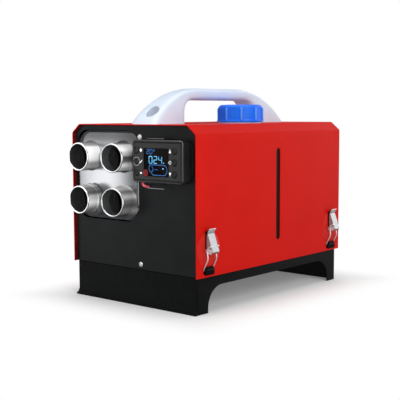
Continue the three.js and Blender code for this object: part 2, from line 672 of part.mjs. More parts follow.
function outletManifold() {
  const face = -faceY - outlet.proud;
  const plateBack = face + outlet.plate;
  const flangeFront = -panelBack + touch;
  const flangeBack = flangeFront + outlet.flange;
  const collarFront = heater.front - nose.length;
  const rim = -hoodHalfLength - tube.reach;
  const flangeShape = roundedRect(opening.left, outletFlange.right, outletFlange.low, outletFlange.high,
    outlet.corner);
  const collar = rodY(heater.x, heater.z, funnel.collar, collarFront - touch, collarFront + funnel.collarLength);
  const collarBore = nose.radius + touch;
  const tubes = [];
  const bores = [];
  for (const x of [tube.middleX - tube.pitchX / 2, tube.middleX + tube.pitchX / 2]) {
    for (const z of [tube.middleZ - tube.pitchZ / 2, tube.middleZ + tube.pitchZ / 2]) {
      const flares = flareShares.map((share) => {
        const angle = share * (Math.PI / 2);
        return [tube.radius + tube.flare * (1 - Math.cos(angle)), face - tube.flare * (1 - Math.sin(angle))];
      });
      const profile = [[0, rim], [tube.radius, rim], ...flares, [tube.radius + tube.flare, plateBack],
        [0, plateBack]];
      tubes.push(turnedY(profile, x, z, round.medium));
      bores.push(rodY(x, z, tube.radius - tube.wall, rim - overrun, plateBack + overrun));
    }
  }
  const trimmed = joined(tubes).intersect(alongY(plateOutline(), rim - overrun, plateBack));
  const outer = alongY(plateOutline(), face, flangeBack).add(trimmed)
    .add(alongY(flangeShape, flangeFront, flangeBack))
    .add(funnelSolid(funnel.margin, funnel.collar, flangeBack - touch, collarFront))
    .add(collar);
  const hollow = funnelSolid(funnel.margin + funnel.wall, funnel.collar - funnel.wall, plateBack, collarFront)
    .add(rodY(heater.x, heater.z, collarBore, collarFront - touch, collarFront + funnel.collarLength + overrun,
      round.large));
  return outer.subtract(hollow).subtract(joined(bores))
    .subtract(screwHoles(flangeFront - overrun, flangeBack + overrun, [screw.highZ]));
}

// Handle: rings between an outer and an inner line, wide at the feet and narrow at the grip
function handleLines(low) {
  const at = (inFromFoot, downFromTop) => new THREE.Vector2(handleFoot - inFromFoot, handleTop - downFromTop);
  const feetDown = handleTop - low;
  const outer = new THREE.CubicBezierCurve(at(0, feetDown), at(bend.footIn, bend.footDown),
    at(bend.topIn, bend.topDown), at(handle.gripRun, 0));
  const inner = new THREE.CubicBezierCurve(at(handle.leg, feetDown), at(handle.leg, bend.gapDown),
    at(handle.leg + bend.gapIn, handle.grip), at(handle.gripRun, handle.grip));
  return { outer, inner };
}

function handleSolid(low, clearance) {
  const { outer, inner } = handleLines(low);
  const stations = 7;
  const sides = 12;
  const square = 0.62;
  const soft = (value) => Math.sign(value) * Math.abs(value) ** square;
  const halfPath = Array.from({ length: stations }, (_, i) => i / (stations - 1));
  const rings = [...halfPath.map((t) => [t, -1]), ...halfPath.reverse().map((t) => [t, 1])];
  const points = [];
  for (const [t, side] of rings) {
    const out = outer.getPoint(t);
    const into = inner.getPoint(t);
    const middle = out.clone().add(into).divideScalar(2);
    const reach = out.clone().sub(into).divideScalar(2);
    reach.setLength(reach.length() - clearance);
    const blend = t * t * (3 - 2 * t);
    const half = (handle.wide + (handle.narrow - handle.wide) * blend) / 2 - clearance;
    for (let k = 0; k < sides; k += 1) {
      const angle = ((k + 0.5) / sides) * 2 * Math.PI;
      const along = soft(Math.cos(angle));
      const x = handle.x + half * soft(Math.sin(angle));
      points.push([x, side * (middle.x + reach.x * along), middle.y + reach.y * along]);
    }
  }
  return asSolid(loft(points, sides));
}

// Closed skin over rings of points that all have the same count
function loft(points, sides) {
  const count = points.length / sides;
  const index = [];
  for (let r = 0; r < count - 1; r += 1) {
    for (let k = 0; k < sides; k += 1) {
      const [a, b] = [r * sides + k, r * sides + ((k + 1) % sides)];
      const [c, d] = [a + sides, b + sides];
      index.push(a, b, c, b, d, c);
    }
  }
  for (let k = 1; k < sides - 1; k += 1) {
    const last = (count - 1) * sides;
    index.push(0, k + 1, k, last, last + k, last + k + 1);
  }
  const geometry = new THREE.BufferGeometry();
  geometry.setAttribute('position', new THREE.BufferAttribute(new Float32Array(points.flat()), 3));
  geometry.setIndex(index);
  return geometry;
}

function fuelTank() {
  const { left, right, front, back, wall, corner, hoodGap: gap } = tank;
  const top = tankTop;
  const low = deckTop;
  const strapHalf = handle.wide / 2;
  const footLow = ledge.strapLow + touch;
  const under = (clearance) => alongY(polygon(withinHood(low - overrun, clearance)), front, back);
  const body = alongZ(roundedRect(left, right, front, back, corner), low, top).intersect(under(gap));
  const shelfPart = block(ledge.left, left + corner, ledge.front, ledge.back, ledge.low, top);
  const strap = block(handle.x - strapHalf, handle.x + strapHalf, -handleFoot, handleFoot, ledge.strapLow, top);
  const lugFront = -panelBack + 2 * touch + outlet.flange;
  const lugs = [[lugFront, front + corner], [back - corner, panelBack - touch]].map(([y0, y1]) =>
    rodY(screwX, screw.highZ, lug.radius, y0, y1, round.small));
  const outletStub = rodY(tankOutlet.x, tankOutlet.z, line.radius, back - wall, back + tankOutlet.reach, round.small);
  const neckPart = rodZ(neck.x, neck.y, neck.radius, top - wall, neckTop, round.large)
    .add(rodZ(neck.x, neck.y, neck.collar, top - wall, collarTop, round.large));
  const outer = joined([body, shelfPart, strap, ...lugs, outletStub, neckPart, handleSolid(footLow, 0)]);
  const roomBody = alongZ(roundedRect(left + wall, right - wall, front + wall, back - wall, corner - wall),
    low + wall, top - wall).intersect(under(gap + wall));
  const roomLedge = block(ledge.left + wall, left + corner, ledge.front + wall, ledge.back - wall,
    ledge.low + wall, top - wall);
  const neckBore = rodZ(neck.x, neck.y, neck.bore, top - wall - overrun, neckTop + overrun, round.large);
  const lugHoles = [[-panelBack, lugFront + lug.depth], [panelBack - touch - lug.depth, panelBack]]
    .map(([y0, y1]) => rodY(screwX, screw.highZ, screw.shank + screw.clear, y0, y1, round.small));
  const handleRoom = handleSolid(ledge.strapLow + wall, handle.wall);
  return outer.subtract(joined([roomBody, roomLedge, neckBore, ...lugHoles, handleRoom]));
}

function fuelCap() {
  const { flangeHeight, bevel } = cap;
  const shoulder = capTop - bevel;
  const skirt = capLow + flangeHeight;
  const profile = [[0, capLow], [capFlange, capLow], [capFlange, skirt], [capRadius, skirt], [capRadius, shoulder],
    [capRadius - bevel, capTop], [0, capTop]];
  const grip = ring(capRib.count, (angle) => {
    const [near, far, low] = [capBore, capRadius + capRib.proud, skirt - flangeHeight / 2];
    const geometry = new THREE.BoxGeometry(far - near, 2 * capRib.half, shoulder - low);
    geometry.translate((far + near) / 2, 0, (shoulder + low) / 2);
    geometry.rotateZ(angle);
    geometry.translate(neck.x, neck.y, 0);
    return asSolid(geometry);
  });
  return turnedZ(profile, neck.x, neck.y).add(joined(grip))
    .subtract(rodZ(neck.x, neck.y, capBore, capLow - overrun, capCeiling, round.large));
}

function capSeal() {
  const z1 = capCeiling - touch;
  const z0 = neckTop + touch;
  return rodZ(neck.x, neck.y, capBore - seal.gap, z0, z1, round.large)
    .subtract(rodZ(neck.x, neck.y, neck.bore - seal.overlap, z0 - overrun, z1 + overrun, round.large));
}

function levelWindow() {
  const x1 = hoodInnerHalf - touch;
  return alongX(roundedRect(slot.y - levelStrip.half, slot.y + levelStrip.half, slot.low - levelStrip.margin,
    slot.high + levelStrip.margin, levelStrip.thick), x1 - levelStrip.thick, x1);
}

function fuelPump() {
  const { x, z, radius, front, back, spigotReach, foot: half, footLength } = pump;
  const middle = (front + back) / 2;
  return rodY(x, z, radius, front, back)
    .add(rodY(x, z, pump.spigot, front - spigotReach, back + spigotReach, round.small))
    .add(block(x - half, x + half, middle - footLength / 2, middle + footLength / 2, deckTop, z));
}

function fuelFilter() {
  const { y, z, radius, left, right, spigotReach } = filter;
  return rodX(y, z, radius, left, right).add(rodX(y, z, filter.spigot, left - spigotReach, right + spigotReach,
    round.small));
}

function powerSocket() {
  const { x, z, halfX, halfZ, depth, flange, plate, recess, wall } = socket;
  const seat = faceY + touch;
  return block(x - halfX, x + halfX, seat - depth, seat + plate / 2, z - halfZ, z + halfZ)
    .add(block(x - halfX - flange, x + halfX + flange, seat, seat + plate, z - halfZ - flange, z + halfZ + flange))
    .subtract(block(x - halfX + wall, x + halfX - wall, seat + plate - recess, seat + plate + overrun,
      z - halfZ + wall, z + halfZ - wall));
}

function inletGuard() {
  const y0 = faceY + touch;
  const y1 = y0 + guard.plate;
  const hoop = (outer, inner) => rodY(heater.x, heater.z, outer, y0, y1, round.large)
    .subtract(rodY(heater.x, heater.z, inner, y0 - overrun, y1 + overrun, round.large));
  const bar = new THREE.BoxGeometry(guard.radius - guard.ring / 2, guard.plate, guard.spoke);
  bar.translate(guard.radius / 2, (y0 + y1) / 2, 0);
  const spokes = ring(guard.spokes, (angle) => turnedBlade(bar, angle));
  return hoop(guard.radius, guard.radius - guard.ring - guard.plate)
    .add(hoop(guard.middle, guard.middle - guard.ring))
    .add(rodY(heater.x, heater.z, guard.hub, y0, y1)).add(joined(spokes));
}

// Controller holder: a plate on the panel with a clip above and below the housing
function controllerHolder() {
  const back = -faceY - touch;
  const front = back - holder.sheet;
  const plate = alongY(roundedRect(holder.left, holder.right, holder.low, holder.high, holder.corner), front, back);
  const clips = [[holder.high - holder.sheet, control.high + touch + clip.sheet],
    [control.low - touch - clip.sheet, holder.low + holder.sheet]].map(([z0, z1]) =>
    block(clip.left, clip.right, front, back, z0, z1));
  const arms = [[control.high + touch, control.high + touch + clip.sheet],
    [control.low - touch - clip.sheet, control.low - touch]].map(([z0, z1]) =>
    block(clip.left, clip.right, front - clip.reach, back, z0, z1));
  return plate.add(joined([...clips, ...arms]));
}

const controlBack = -faceY - holder.sheet - 2 * touch;
const controlFront = controlBack - control.depth;
const keyPlaces = [];
for (const [side, x] of [['left', key.leftX], ['right', key.rightX]]) {
  for (const [row, z] of Object.entries(keyRows)) keyPlaces.push({ name: `key_${side}_${row}`, x, z });
}

function controllerHousing() {
  const { left, right, low, high, corner, wall } = control;
  const inner = controlFront + wall;
  const cut = [controlFront - overrun, inner + overrun];
  const glass = roundedRect(screen.left, screen.right, screen.low, screen.high, screen.corner);
  return alongY(roundedRect(left, right, low, high, corner), controlFront, controlBack)
    .subtract(alongY(roundedRect(left + wall, right - wall, low + wall, high - wall, corner - wall), inner,
      controlBack + overrun))
    .subtract(alongY(glass, ...cut))
    .subtract(joined(keyPlaces.map(({ x, z }) => rodY(x, z, key.radius + key.clear, ...cut, round.small))));
}

function controllerScreen() {
  const y0 = controlFront + screen.sunk;
  return alongY(roundedRect(screen.left + touch, screen.right - touch, screen.low + touch, screen.high - touch,
    screen.corner), y0, y0 + screen.glass);
}

// Printed board of the controller: it carries the display block and a dome under each key
function controllerBoard() {
  const { left, right, low, high, wall } = control;
  const { inset: gap, thick, dome, domeGap } = circuit;
  const glassBack = controlFront + screen.sunk + screen.glass + touch;
  const keyBack = controlFront + wall + key.clear + key.flangeDepth;
  const y0 = keyBack + domeGap + dome;
  const display = block(screen.left + touch, screen.right - touch, glassBack, y0 + thick, screen.low + touch,
    screen.high - touch);
  const domes = keyPlaces.map(({ x, z }) => rodY(x, z, key.radius, keyBack + domeGap, y0 + thick, round.small));
  const plate = alongY(roundedRect(left + gap, right - gap, low + gap, high - gap, control.corner - gap), y0,
    y0 + thick);
  const pads = [left + wall + gap, right - wall - gap].map((x) =>
    rodY(x, (low + high) / 2, gap / 2, y0, controlBack - touch, round.small));
  return plate.add(display).add(joined([...domes, ...pads]));
}

function controllerKey({ x, z }) {
  const seat = controlFront + control.wall + key.clear;
  return rodY(x, z, key.radius, controlFront - key.proud, seat + key.flangeDepth, round.small)
    .add(rodY(x, z, key.flange, seat, seat + key.flangeDepth, round.small));
}

function controllerLead() {
  const hang = controlBack - 2 * lead.radius;
  const low = leadZ - lead.radius;
  return hose([[lead.x, lead.back - faceY, leadZ], [lead.x, -faceY, leadZ], [lead.x, hang + lead.radius, leadZ],
    [(lead.x + lead.dropX) / 2, hang - lead.radius, low], [lead.dropX, hang, control.low - 3 * lead.radius],
    [lead.dropX, hang, control.low - touch]], lead.radius);
}

// Latch pieces, with the hood's outer face at x = 0 and the pivot at z = 0
function latchPlate() {
  const { low, high, half, out } = backing;
  const plate = block(touch, touch + out, -half, half, low, high);
  const cheek = new THREE.Shape();
  cheek.moveTo(touch, -ear.root);
  cheek.lineTo(latch.pivotOut, -ear.root);
  cheek.absarc(latch.pivotOut, 0, ear.radius, -Math.PI / 2, Math.PI / 2);
  cheek.lineTo(latch.pivotOut, ear.root);
  cheek.lineTo(touch, ear.root);
  const ears = [-ear.inner - ear.thick, ear.inner].map((y) => alongY(cheek, y, y + ear.thick));
  const pin = rodY(latch.pivotOut, 0, latch.pin, -ear.inner - ear.thick, ear.inner + ear.thick, round.small);
  return joined([plate, ...ears, pin]);
}

const turnAngle = (latch.turnTilt * Math.PI) / 180;
const turnOut = latch.pivotOut + latch.turn * Math.sin(turnAngle);
const turnUp = latch.turn * Math.cos(turnAngle);

function latchLever() {
  const { lowOut, lowZ, beltOut, beltZ, topOut, topZ, lipOut, lipZ } = leverSkin;
  const t = lever.sheet;
  const skin = polygon([[lowOut, lowZ], [beltOut, beltZ], [topOut + t, topZ], [lipOut, lipZ - t], [lipOut, lipZ],
    [topOut, topZ + t / 2], [topOut, topZ - t], [beltOut - t, beltZ - t], [lowOut - t, lowZ]]);
  const cheek = new THREE.Shape();
  cheek.absarc(latch.pivotOut, 0, ear.radius, Math.PI / 2, 2 * Math.PI);
  cheek.lineTo(lowOut, lowZ);
  cheek.lineTo(beltOut - t / 2, beltZ);
  cheek.lineTo(topOut + t / 2, topZ);
  cheek.lineTo(topOut - t / 2, topZ);
  const holes = [rodY(latch.pivotOut, 0, latch.pin + touch, -lever.half - overrun, lever.half + overrun, round.small),
    rodY(turnOut, turnUp, bail.radius + touch, -lever.half - overrun, lever.half + overrun, round.small)];
  const cheeks = [-lever.half, lever.half - lever.cheek].map((y) => alongY(cheek, y, y + lever.cheek));
  return joined([alongY(skin, -lever.half, lever.half), ...cheeks]).subtract(joined(holes));
}

function latchBail() {
  const end = lever.half - lever.cheek - touch;
  const side = (y) => [[turnOut, Math.sign(y) * end, turnUp], [turnOut, y, turnUp], [bail.kneeOut, y, bail.kneeZ],
    [bail.barOut, y, bail.barZ]];
  return bentWire([...side(-bail.half), ...side(bail.half).reverse()], bail.radius);
}

// Hook on the tray: a foot on the deck, an upright behind the hood and a tongue out of its window
function latchHook() {
  const face = -tray.sideInset;
  const low = deckTop - latch.pivotZ;
  const tongueLow = bail.barZ + bail.radius + touch;
  const tongueTop = tongueLow + hook.sheet;
  const { half, sheet } = hook;
  return joined([
    block(face - hook.foot, face, -half, half, low, low + sheet),
    block(face - sheet, face, -half, half, low, tongueTop),
    block(face - sheet, hook.lipIn + sheet, -half, half, tongueLow, tongueTop),
    block(hook.lipIn, hook.lipIn + sheet, -half, half, tongueLow - hook.lipDrop, tongueTop),
  ]);
}

// The whole heater
const root = new THREE.Group();
root.position.y = tube.reach / 2;
const place = (name, solid, material) => root.add(asMesh(name, solid, material));

place('base_tray', baseTray(), black);
place('front_panel', frontPanel(), black);
place('rear_panel', rearPanel(), black);
place('red_cover', redCover(), red);
place('heater_shelf', heaterShelf(), steel);
place('heater_casing_lower', lowerCasing(), black);
place('heater_casing_upper', upperCasing(), black);
place('heat_exchanger', heatExchanger(), silver);
place('burner_tube', burnerTube(), steel);
place('glow_plug', glowPlug(), steel);
place('blower_motor', blowerMotor(), steel);
place('motor_shaft', motorShaft(), zinc);
place('combustion_fan', combustionFan(), black);
place('blower_wheel', blowerWheel(), black);
place('control_board', controlBoard(), green);
place('exhaust_stub', airStub(stub.exhaustY, stub.wall), steel);
place('intake_stub', airStub(stub.intakeY, stub.wall), rubber);
place('outlet_manifold', outletManifold(), silver);
place('fuel_tank', fuelTank(), poly);
place('fuel_cap', fuelCap(), blue);
place('cap_seal', capSeal(), rubber);
place('level_window', levelWindow(), smoke);
place('fuel_pump', fuelPump(), steel);
place('fuel_filter', fuelFilter(), poly);
place('power_socket', powerSocket(), black);
place('inlet_guard', inletGuard(), black);
place('controller_holder', controllerHolder(), black);
place('controller_housing', controllerHousing(), black);
place('controller_board', controllerBoard(), green);
place('controller_screen', controllerScreen(), smoke);
place('controller_lead', controllerLead(), pinkWire);
for (const spot of keyPlaces) place(spot.name, controllerKey(spot), black);

const panelScrews = [['upper', screw.highZ], ['lower', screw.lowZ]];
for (const [height, z] of panelScrews) {
  const front = asMesh(`front_screw_${height}`, panelScrew(), zinc);
  front.position.z = z;
  const back = asMesh(`rear_screw_${height}`, panelScrew(), zinc);
  back.position.set(2 * screwX, 0, z);
  back.rotation.z = Math.PI;
  root.add(front, back);
}

const tankLine = [[tankOutlet.x, tank.back + tankOutlet.reach + touch, tankOutlet.z],
  [tankOutlet.x, filter.y - filter.radius, tankOutlet.z],
  [filter.right + filter.spigotReach * 2, filter.y, filter.z],
  [filter.right + filter.spigotReach + touch, filter.y, filter.z]];
const pumpLine = [[filter.left - filter.spigotReach - touch, filter.y, filter.z],
  [-20, filter.y, filter.z], [-58, filter.y, 72],
  [pump.x, 140, 75], [pump.x, pump.back + 2 * filter.radius, pump.z],
  [pump.x, pump.back + pump.spigotReach + touch, pump.z]];
const heaterLine = [[pump.x, pump.front - pump.spigotReach - touch, pump.z], [pump.x, 14, 77], [-80, 4, 82],
  [fuelInlet.x, fuelInlet.y, heaterBottom - 2 * spigot.reach],
  [fuelInlet.x, fuelInlet.y, heaterBottom - spigot.reach - touch]];
place('fuel_line_tank', hose(tankLine, line.radius), rubber);
place('fuel_line_pump', hose(pumpLine, line.radius), rubber);
place('fuel_line_heater', hose(heaterLine, line.radius), rubber);

const corners = [['front_right', 1, -1], ['rear_right', 1, 1], ['front_left', -1, -1], ['rear_left', -1, 1]];
for (const [corner, side, end] of corners) {
  const group = new THREE.Group();
  group.position.set(side * hoodHalf, end * latchY, latch.pivotZ);
  group.rotation.z = side > 0 ? 0 : Math.PI;
  group.add(asMesh(`latch_plate_${corner}`, latchPlate(), zinc));
  group.add(asMesh(`latch_lever_${corner}`, latchLever(), zinc));
  group.add(asMesh(`latch_bail_${corner}`, latchBail(), zinc));
  group.add(asMesh(`latch_hook_${corner}`, latchHook(), black));
  root.add(group);
}

export default root;
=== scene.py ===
"""Portable diesel air heater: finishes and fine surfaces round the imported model. Sizes are in millimetres."""
import json

import bmesh
import bpy
import numpy as np
from mathutils import Matrix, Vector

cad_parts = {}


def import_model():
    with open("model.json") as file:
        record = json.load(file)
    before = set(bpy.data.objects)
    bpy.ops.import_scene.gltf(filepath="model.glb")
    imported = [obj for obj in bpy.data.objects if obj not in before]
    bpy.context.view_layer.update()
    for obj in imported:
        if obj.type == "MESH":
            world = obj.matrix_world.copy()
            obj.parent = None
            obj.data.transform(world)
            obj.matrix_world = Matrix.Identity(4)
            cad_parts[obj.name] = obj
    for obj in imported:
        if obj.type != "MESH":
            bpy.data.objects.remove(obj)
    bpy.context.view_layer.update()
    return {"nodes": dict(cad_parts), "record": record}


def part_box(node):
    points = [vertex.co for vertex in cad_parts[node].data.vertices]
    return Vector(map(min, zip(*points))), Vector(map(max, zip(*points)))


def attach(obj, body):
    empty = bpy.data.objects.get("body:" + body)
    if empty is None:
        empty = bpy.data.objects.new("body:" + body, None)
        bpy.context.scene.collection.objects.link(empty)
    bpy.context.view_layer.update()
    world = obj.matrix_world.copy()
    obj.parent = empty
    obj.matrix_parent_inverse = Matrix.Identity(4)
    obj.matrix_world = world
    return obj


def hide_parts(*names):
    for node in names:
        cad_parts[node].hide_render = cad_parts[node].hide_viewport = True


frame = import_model()

mm = 0.001
scene = bpy.context.scene
crease = 40  # edges past this angle in degrees are sharp


def span(node):
    """Lowest and highest corner of a node at rest, in millimetres."""
    low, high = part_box(node)
    return np.array([low, high]) / mm


# Camera, from the vanishing lines of the case
eye = (904.6, -1070.5, 281.5)
heading, dip, roll = np.radians([40.6, 5.74, -0.21])
lens, sensor = 79.56, 36.0


def add_camera():
    """Level right and up vectors turned by the roll, with the view along the heading and down by the dip."""
    ahead = np.array([-np.sin(heading) * np.cos(dip), np.cos(heading) * np.cos(dip), -np.sin(dip)])
    level = np.array([np.cos(heading), np.sin(heading), 0.0])
    above = np.cross(level, ahead)
    right = np.cos(roll) * level + np.sin(roll) * above
    up = np.cos(roll) * above - np.sin(roll) * level
    data = bpy.data.cameras.new("camera")
    data.lens, data.sensor_width, data.clip_end = lens, sensor, 100
    camera = bpy.data.objects.new("camera", data)
    turn = np.column_stack([right, up, -ahead, np.array(eye) * mm])
    camera.matrix_world = Matrix([*turn.tolist(), [0, 0, 0, 1]])
    scene.collection.objects.link(camera)
    scene.camera = camera


add_camera()


# Colours and nodes
def srgb(code):
    """Linear colour of a hex value: each share is straight near black and a power of 2.4 above it."""
    share = np.array([int(code[i:i + 2], 16) for i in (1, 3, 5)]) / 255
    linear = np.where(share <= 0.04045, share / 12.92, ((share + 0.055) / 1.055) ** 2.4)
    return (*linear.tolist(), 1.0)


def add(tree, kind, settings=(), **sockets):
    """One node: settings are its properties, sockets its inputs, by name or as _0 for the first, each a value
    or a link."""
    new = tree.nodes.new(f"ShaderNode{kind}")
    for key, value in dict(settings).items():
        setattr(new, key, value)
    for key, value in sockets.items():
        socket = new.inputs[int(key[1:])] if key[1:].isdigit() else new.inputs[key.replace("_", " ")]
        if isinstance(value, bpy.types.NodeSocket):
            tree.links.new(value, socket)
        else:
            socket.default_value = value
    return new


def computed(tree, operation, *values):
    """Result of one operation on values or links."""
    sockets = {f"_{i}": value for i, value in enumerate(values)}
    return add(tree, "Math", {"operation": operation}, **sockets).outputs["Value"]


def stepped(tree, value, start, end, low, high):
    """Goes from low to high by a smooth step while the value goes from start to end."""
    return add(tree, "MapRange", {"interpolation_type": "SMOOTHSTEP"}, Value=value, From_Min=start,
               From_Max=end, To_Min=low, To_Max=high).outputs["Result"]


def steps_between(tree, factor, low, high, first, last):
    """Colour ramp from first to last between two positions."""
    ramp = add(tree, "ValToRGB", Fac=factor)
    stops = ramp.color_ramp.elements
    stops[0].position, stops[0].color = low, srgb(first)
    stops[1].position, stops[1].color = high, srgb(last)
    return ramp.outputs["Color"]


def place_of(tree):
    """Position on the piece, in metres."""
    return add(tree, "TexCoord").outputs["Object"]


def part_of_place(tree):
    """The position's three numbers as outputs X, Y and Z."""
    return add(tree, "SeparateXYZ", Vector=place_of(tree)).outputs


def per_metre(size):
    """Scale of a pattern whose grain is size millimetres across."""
    return 1 / (size * mm)


def noise_of(tree, grain, detail):
    """Soft noise between 0 and 1 with patches of the grain size."""
    return add(tree, "TexNoise", Vector=place_of(tree), Scale=per_metre(grain), Detail=detail).outputs["Fac"]


def begin(name, **sockets):
    """Material with one Principled shader: its values go straight on the shader's sockets."""
    material = bpy.data.materials.new(name)
    material.use_nodes = True
    tree = material.node_tree
    tree.nodes.clear()
    shader = add(tree, "BsdfPrincipled", **sockets)
    add(tree, "OutputMaterial", Surface=shader.outputs["BSDF"])
    material.diffuse_color = shader.inputs["Base Color"].default_value
    return material, tree, shader


def join(tree, source, shader, socket):
    """Links an output to one of the shader's sockets."""
    tree.links.new(source, shader.inputs[socket])


def bumpy(tree, shader, height, depth, strength):
    """Bump from a height between 0 and 1 that is depth millimetres tall."""
    bump = add(tree, "Bump", Strength=strength, Distance=depth * mm, Height=height)
    join(tree, bump.outputs["Normal"], shader, "Normal")


def grained(tree, shader, grain, depth, strength, detail=2.0):
    """Bump of soft noise over patches of the grain size."""
    bumpy(tree, shader, noise_of(tree, grain, detail), depth, strength)


def drift_between(tree, grain, dark, light, detail=3.0):
    """Colour that drifts between two near ones, over patches of the grain size."""
    usual_low, usual_high = 0.3, 0.7
    return steps_between(tree, noise_of(tree, grain, detail), usual_low, usual_high, dark, light)


def mottled(tree, shader, grain, dark, light):
    """Base colour that drifts between two near colours, over patches of the grain size."""
    join(tree, drift_between(tree, grain, dark, light), shader, "Base Color")


def rough_between(tree, shader, grain, low, high):
    """Roughness that drifts between two values over patches of the grain size."""
    drift = add(tree, "MapRange", Value=noise_of(tree, grain, 4.0), To_Min=low, To_Max=high)
    join(tree, drift.outputs["Result"], shader, "Roughness")


def dimmed(tree, shader, colour, share):
    """Base colour scaled by a share between 0 and 1."""
    dim = add(tree, "VectorMath", {"operation": "SCALE"}, Vector=colour, Scale=share)
    join(tree, dim.outputs["Vector"], shader, "Base Color")


# Finishes
def red_powder_coat():
    """Baked polyester powder on steel: even satin red with the faint orange peel of melted powder."""
    material, tree, shader = begin("red_powder_coat", Roughness=0.32, Specular_IOR_Level=0.05)
    mottled(tree, shader, 60, "#c71006", "#cb1308")
    grained(tree, shader, 1.4, depth=0.02, strength=0.25)
    return material


def black_powder_coat():
    """Fine-texture black powder on steel: near black, a soft wide sheen and a grain that is just felt."""
    material, tree, shader = begin("black_powder_coat", Roughness=0.4, Specular_IOR_Level=0.1)
    mottled(tree, shader, 40, "#151617", "#191a1b")
    rough_between(tree, shader, 25, 0.34, 0.42)
    grained(tree, shader, 0.7, depth=0.03, strength=0.3)
    return material


def cast_aluminium():
    """Die-cast aluminium, shot-blasted and lightly brushed: silver with a slow drift of tone and of sheen,
    and darker toward the controller, as painted shade."""
    shade_start, shade_end, deepest_shade = -0.05, 0.0, 0.6
    material, tree, shader = begin("cast_aluminium", Metallic=0.95, Roughness=0.22)
    silver = drift_between(tree, 40, "#bcbdc0", "#c4c5c8")
    across = part_of_place(tree)["X"]
    # painted shade: the silver darkens toward the controller
    dimmed(tree, shader, silver, stepped(tree, across, shade_start, shade_end, 1.0, deepest_shade))
    rough_between(tree, shader, 30, 0.2, 0.25)
    return material


def reflection_painted_tube(name, foot, crown, tones):
    """Aluminium tube with painted reflections: light and dark bands lie along it from foot to crown, and all of
    them dim toward the plate as painted shade. Tones are a share of the height and a grey level."""
    plate_shade_depth = 0.72
    material, tree, shader = begin(f"reflection_painted_tube_{name}", Metallic=0.2, Roughness=0.4,
                                   Specular_IOR_Level=0.3)
    place = part_of_place(tree)
    height = add(tree, "MapRange", Value=place["Z"], From_Min=foot * mm, From_Max=crown * mm)
    # painted reflections: grey bands up the tube's height
    ramp = add(tree, "ValToRGB", Fac=height.outputs["Result"])
    ramp.color_ramp.interpolation = "EASE"
    stops = ramp.color_ramp.elements
    for i, (share, grey) in enumerate(tones):
        stop = stops[i] if i < 2 else stops.new(share)
        stop.position, stop.color = share, srgb(f"#{grey:02x}{grey:02x}{grey:02x}")
    # painted shade: the colour dims toward the plate
    back = add(tree, "MapRange", Value=place["Y"], From_Min=rim_y * mm, From_Max=plate_y * mm, To_Min=1.0,
               To_Max=plate_shade_depth)
    dimmed(tree, shader, ramp.outputs["Color"], back.outputs["Result"])
    rough_between(tree, shader, 20, 0.34, 0.44)
    return material


def turned_aluminium():
    """Aluminium faced on a lathe: brighter than the casting, with a tight highlight."""
    material, tree, shader = begin("turned_aluminium", Metallic=1.0, Roughness=0.22)
    mottled(tree, shader, 5, "#dcdee0", "#eef0f1")
    rough_between(tree, shader, 3, 0.18, 0.26)
    return material


def casting_skin():
    """Unmachined inside of the casting: dark oxide grey and dull, with the grain of the mould."""
    material, tree, shader = begin("casting_skin", Metallic=0.1, Roughness=0.6, Specular_IOR_Level=0.2)
    mottled(tree, shader, 6, "#363738", "#404142")
    grained(tree, shader, 1.0, depth=0.05, strength=0.3, detail=3.0)
    return material


def bright_zinc(name, dark, light):
    """Zinc-plated and passivated steel: bright, cool, slightly uneven where the plating is thicker."""
    material, tree, shader = begin(name, Metallic=0.6, Roughness=0.3)
    mottled(tree, shader, 4, dark, light)
    rough_between(tree, shader, 3, 0.24, 0.36)
    return material


def galvanised():
    """Hot-dip galvanised sheet: dull grey with the soft patches of zinc crystals."""
    material, tree, shader = begin("galvanised_sheet", Metallic=1.0, Roughness=0.45)
    cells = add(tree, "TexVoronoi", Vector=place_of(tree), Scale=per_metre(7)).outputs["Distance"]
    join(tree, steps_between(tree, cells, 0.0, 0.8, "#8e9195", "#a3a6aa"), shader, "Base Color")
    rough_between(tree, shader, 8, 0.38, 0.52)
    return material


def stainless():
    """Cold-drawn stainless tube: clean grey, slightly uneven in tone and sheen."""
    material, tree, shader = begin("stainless_tube", Metallic=1.0, Roughness=0.3)
    mottled(tree, shader, 10, "#9b9c9e", "#b0b1b3")
    rough_between(tree, shader, 5, 0.25, 0.36)
    return material


def polyethylene():
    """Blow-moulded polyethylene: cool white and a little waxy, as light goes a short way in, with faint flow
    marks."""
    material, tree, shader = begin("white_polyethylene", Roughness=0.38, IOR=1.51, Subsurface_Weight=0.15,
                                   Subsurface_Scale=0.004, Subsurface_Radius=(1.0, 0.9, 1.0))
    mottled(tree, shader, 30, "#d4e1f3", "#dce8f8")
    grained(tree, shader, 9, depth=0.12, strength=0.2)
    return material


def blue_polypropylene():
    """Injection-moulded polypropylene: saturated blue, satin, with a fine spark-eroded grain."""
    material, tree, shader = begin("blue_polypropylene", Roughness=0.36, Specular_IOR_Level=0.35)
    mottled(tree, shader, 20, "#0a6cfa", "#0e76ff")
    grained(tree, shader, 0.9, depth=0.03, strength=0.25)
    return material


def gloss_abs():
    """Polished black ABS: deep black with a clear, slightly wavy reflection."""
    material, tree, shader = begin("gloss_black_abs", Roughness=0.25, Specular_IOR_Level=0.2)
    mottled(tree, shader, 15, "#1a1a1a", "#202020")
    rough_between(tree, shader, 12, 0.2, 0.3)
    return material


def grained_abs():
    """Black ABS from an etched mould: charcoal with a fine leather-like grain and a dull sheen."""
    material, tree, shader = begin("grained_black_abs", Roughness=0.5, Specular_IOR_Level=0.25)
    mottled(tree, shader, 12, "#131415", "#17181a")
    grain = add(tree, "TexVoronoi", Vector=place_of(tree), Scale=per_metre(0.8))
    bumpy(tree, shader, grain.outputs["Distance"], 0.03, 0.3)
    return material


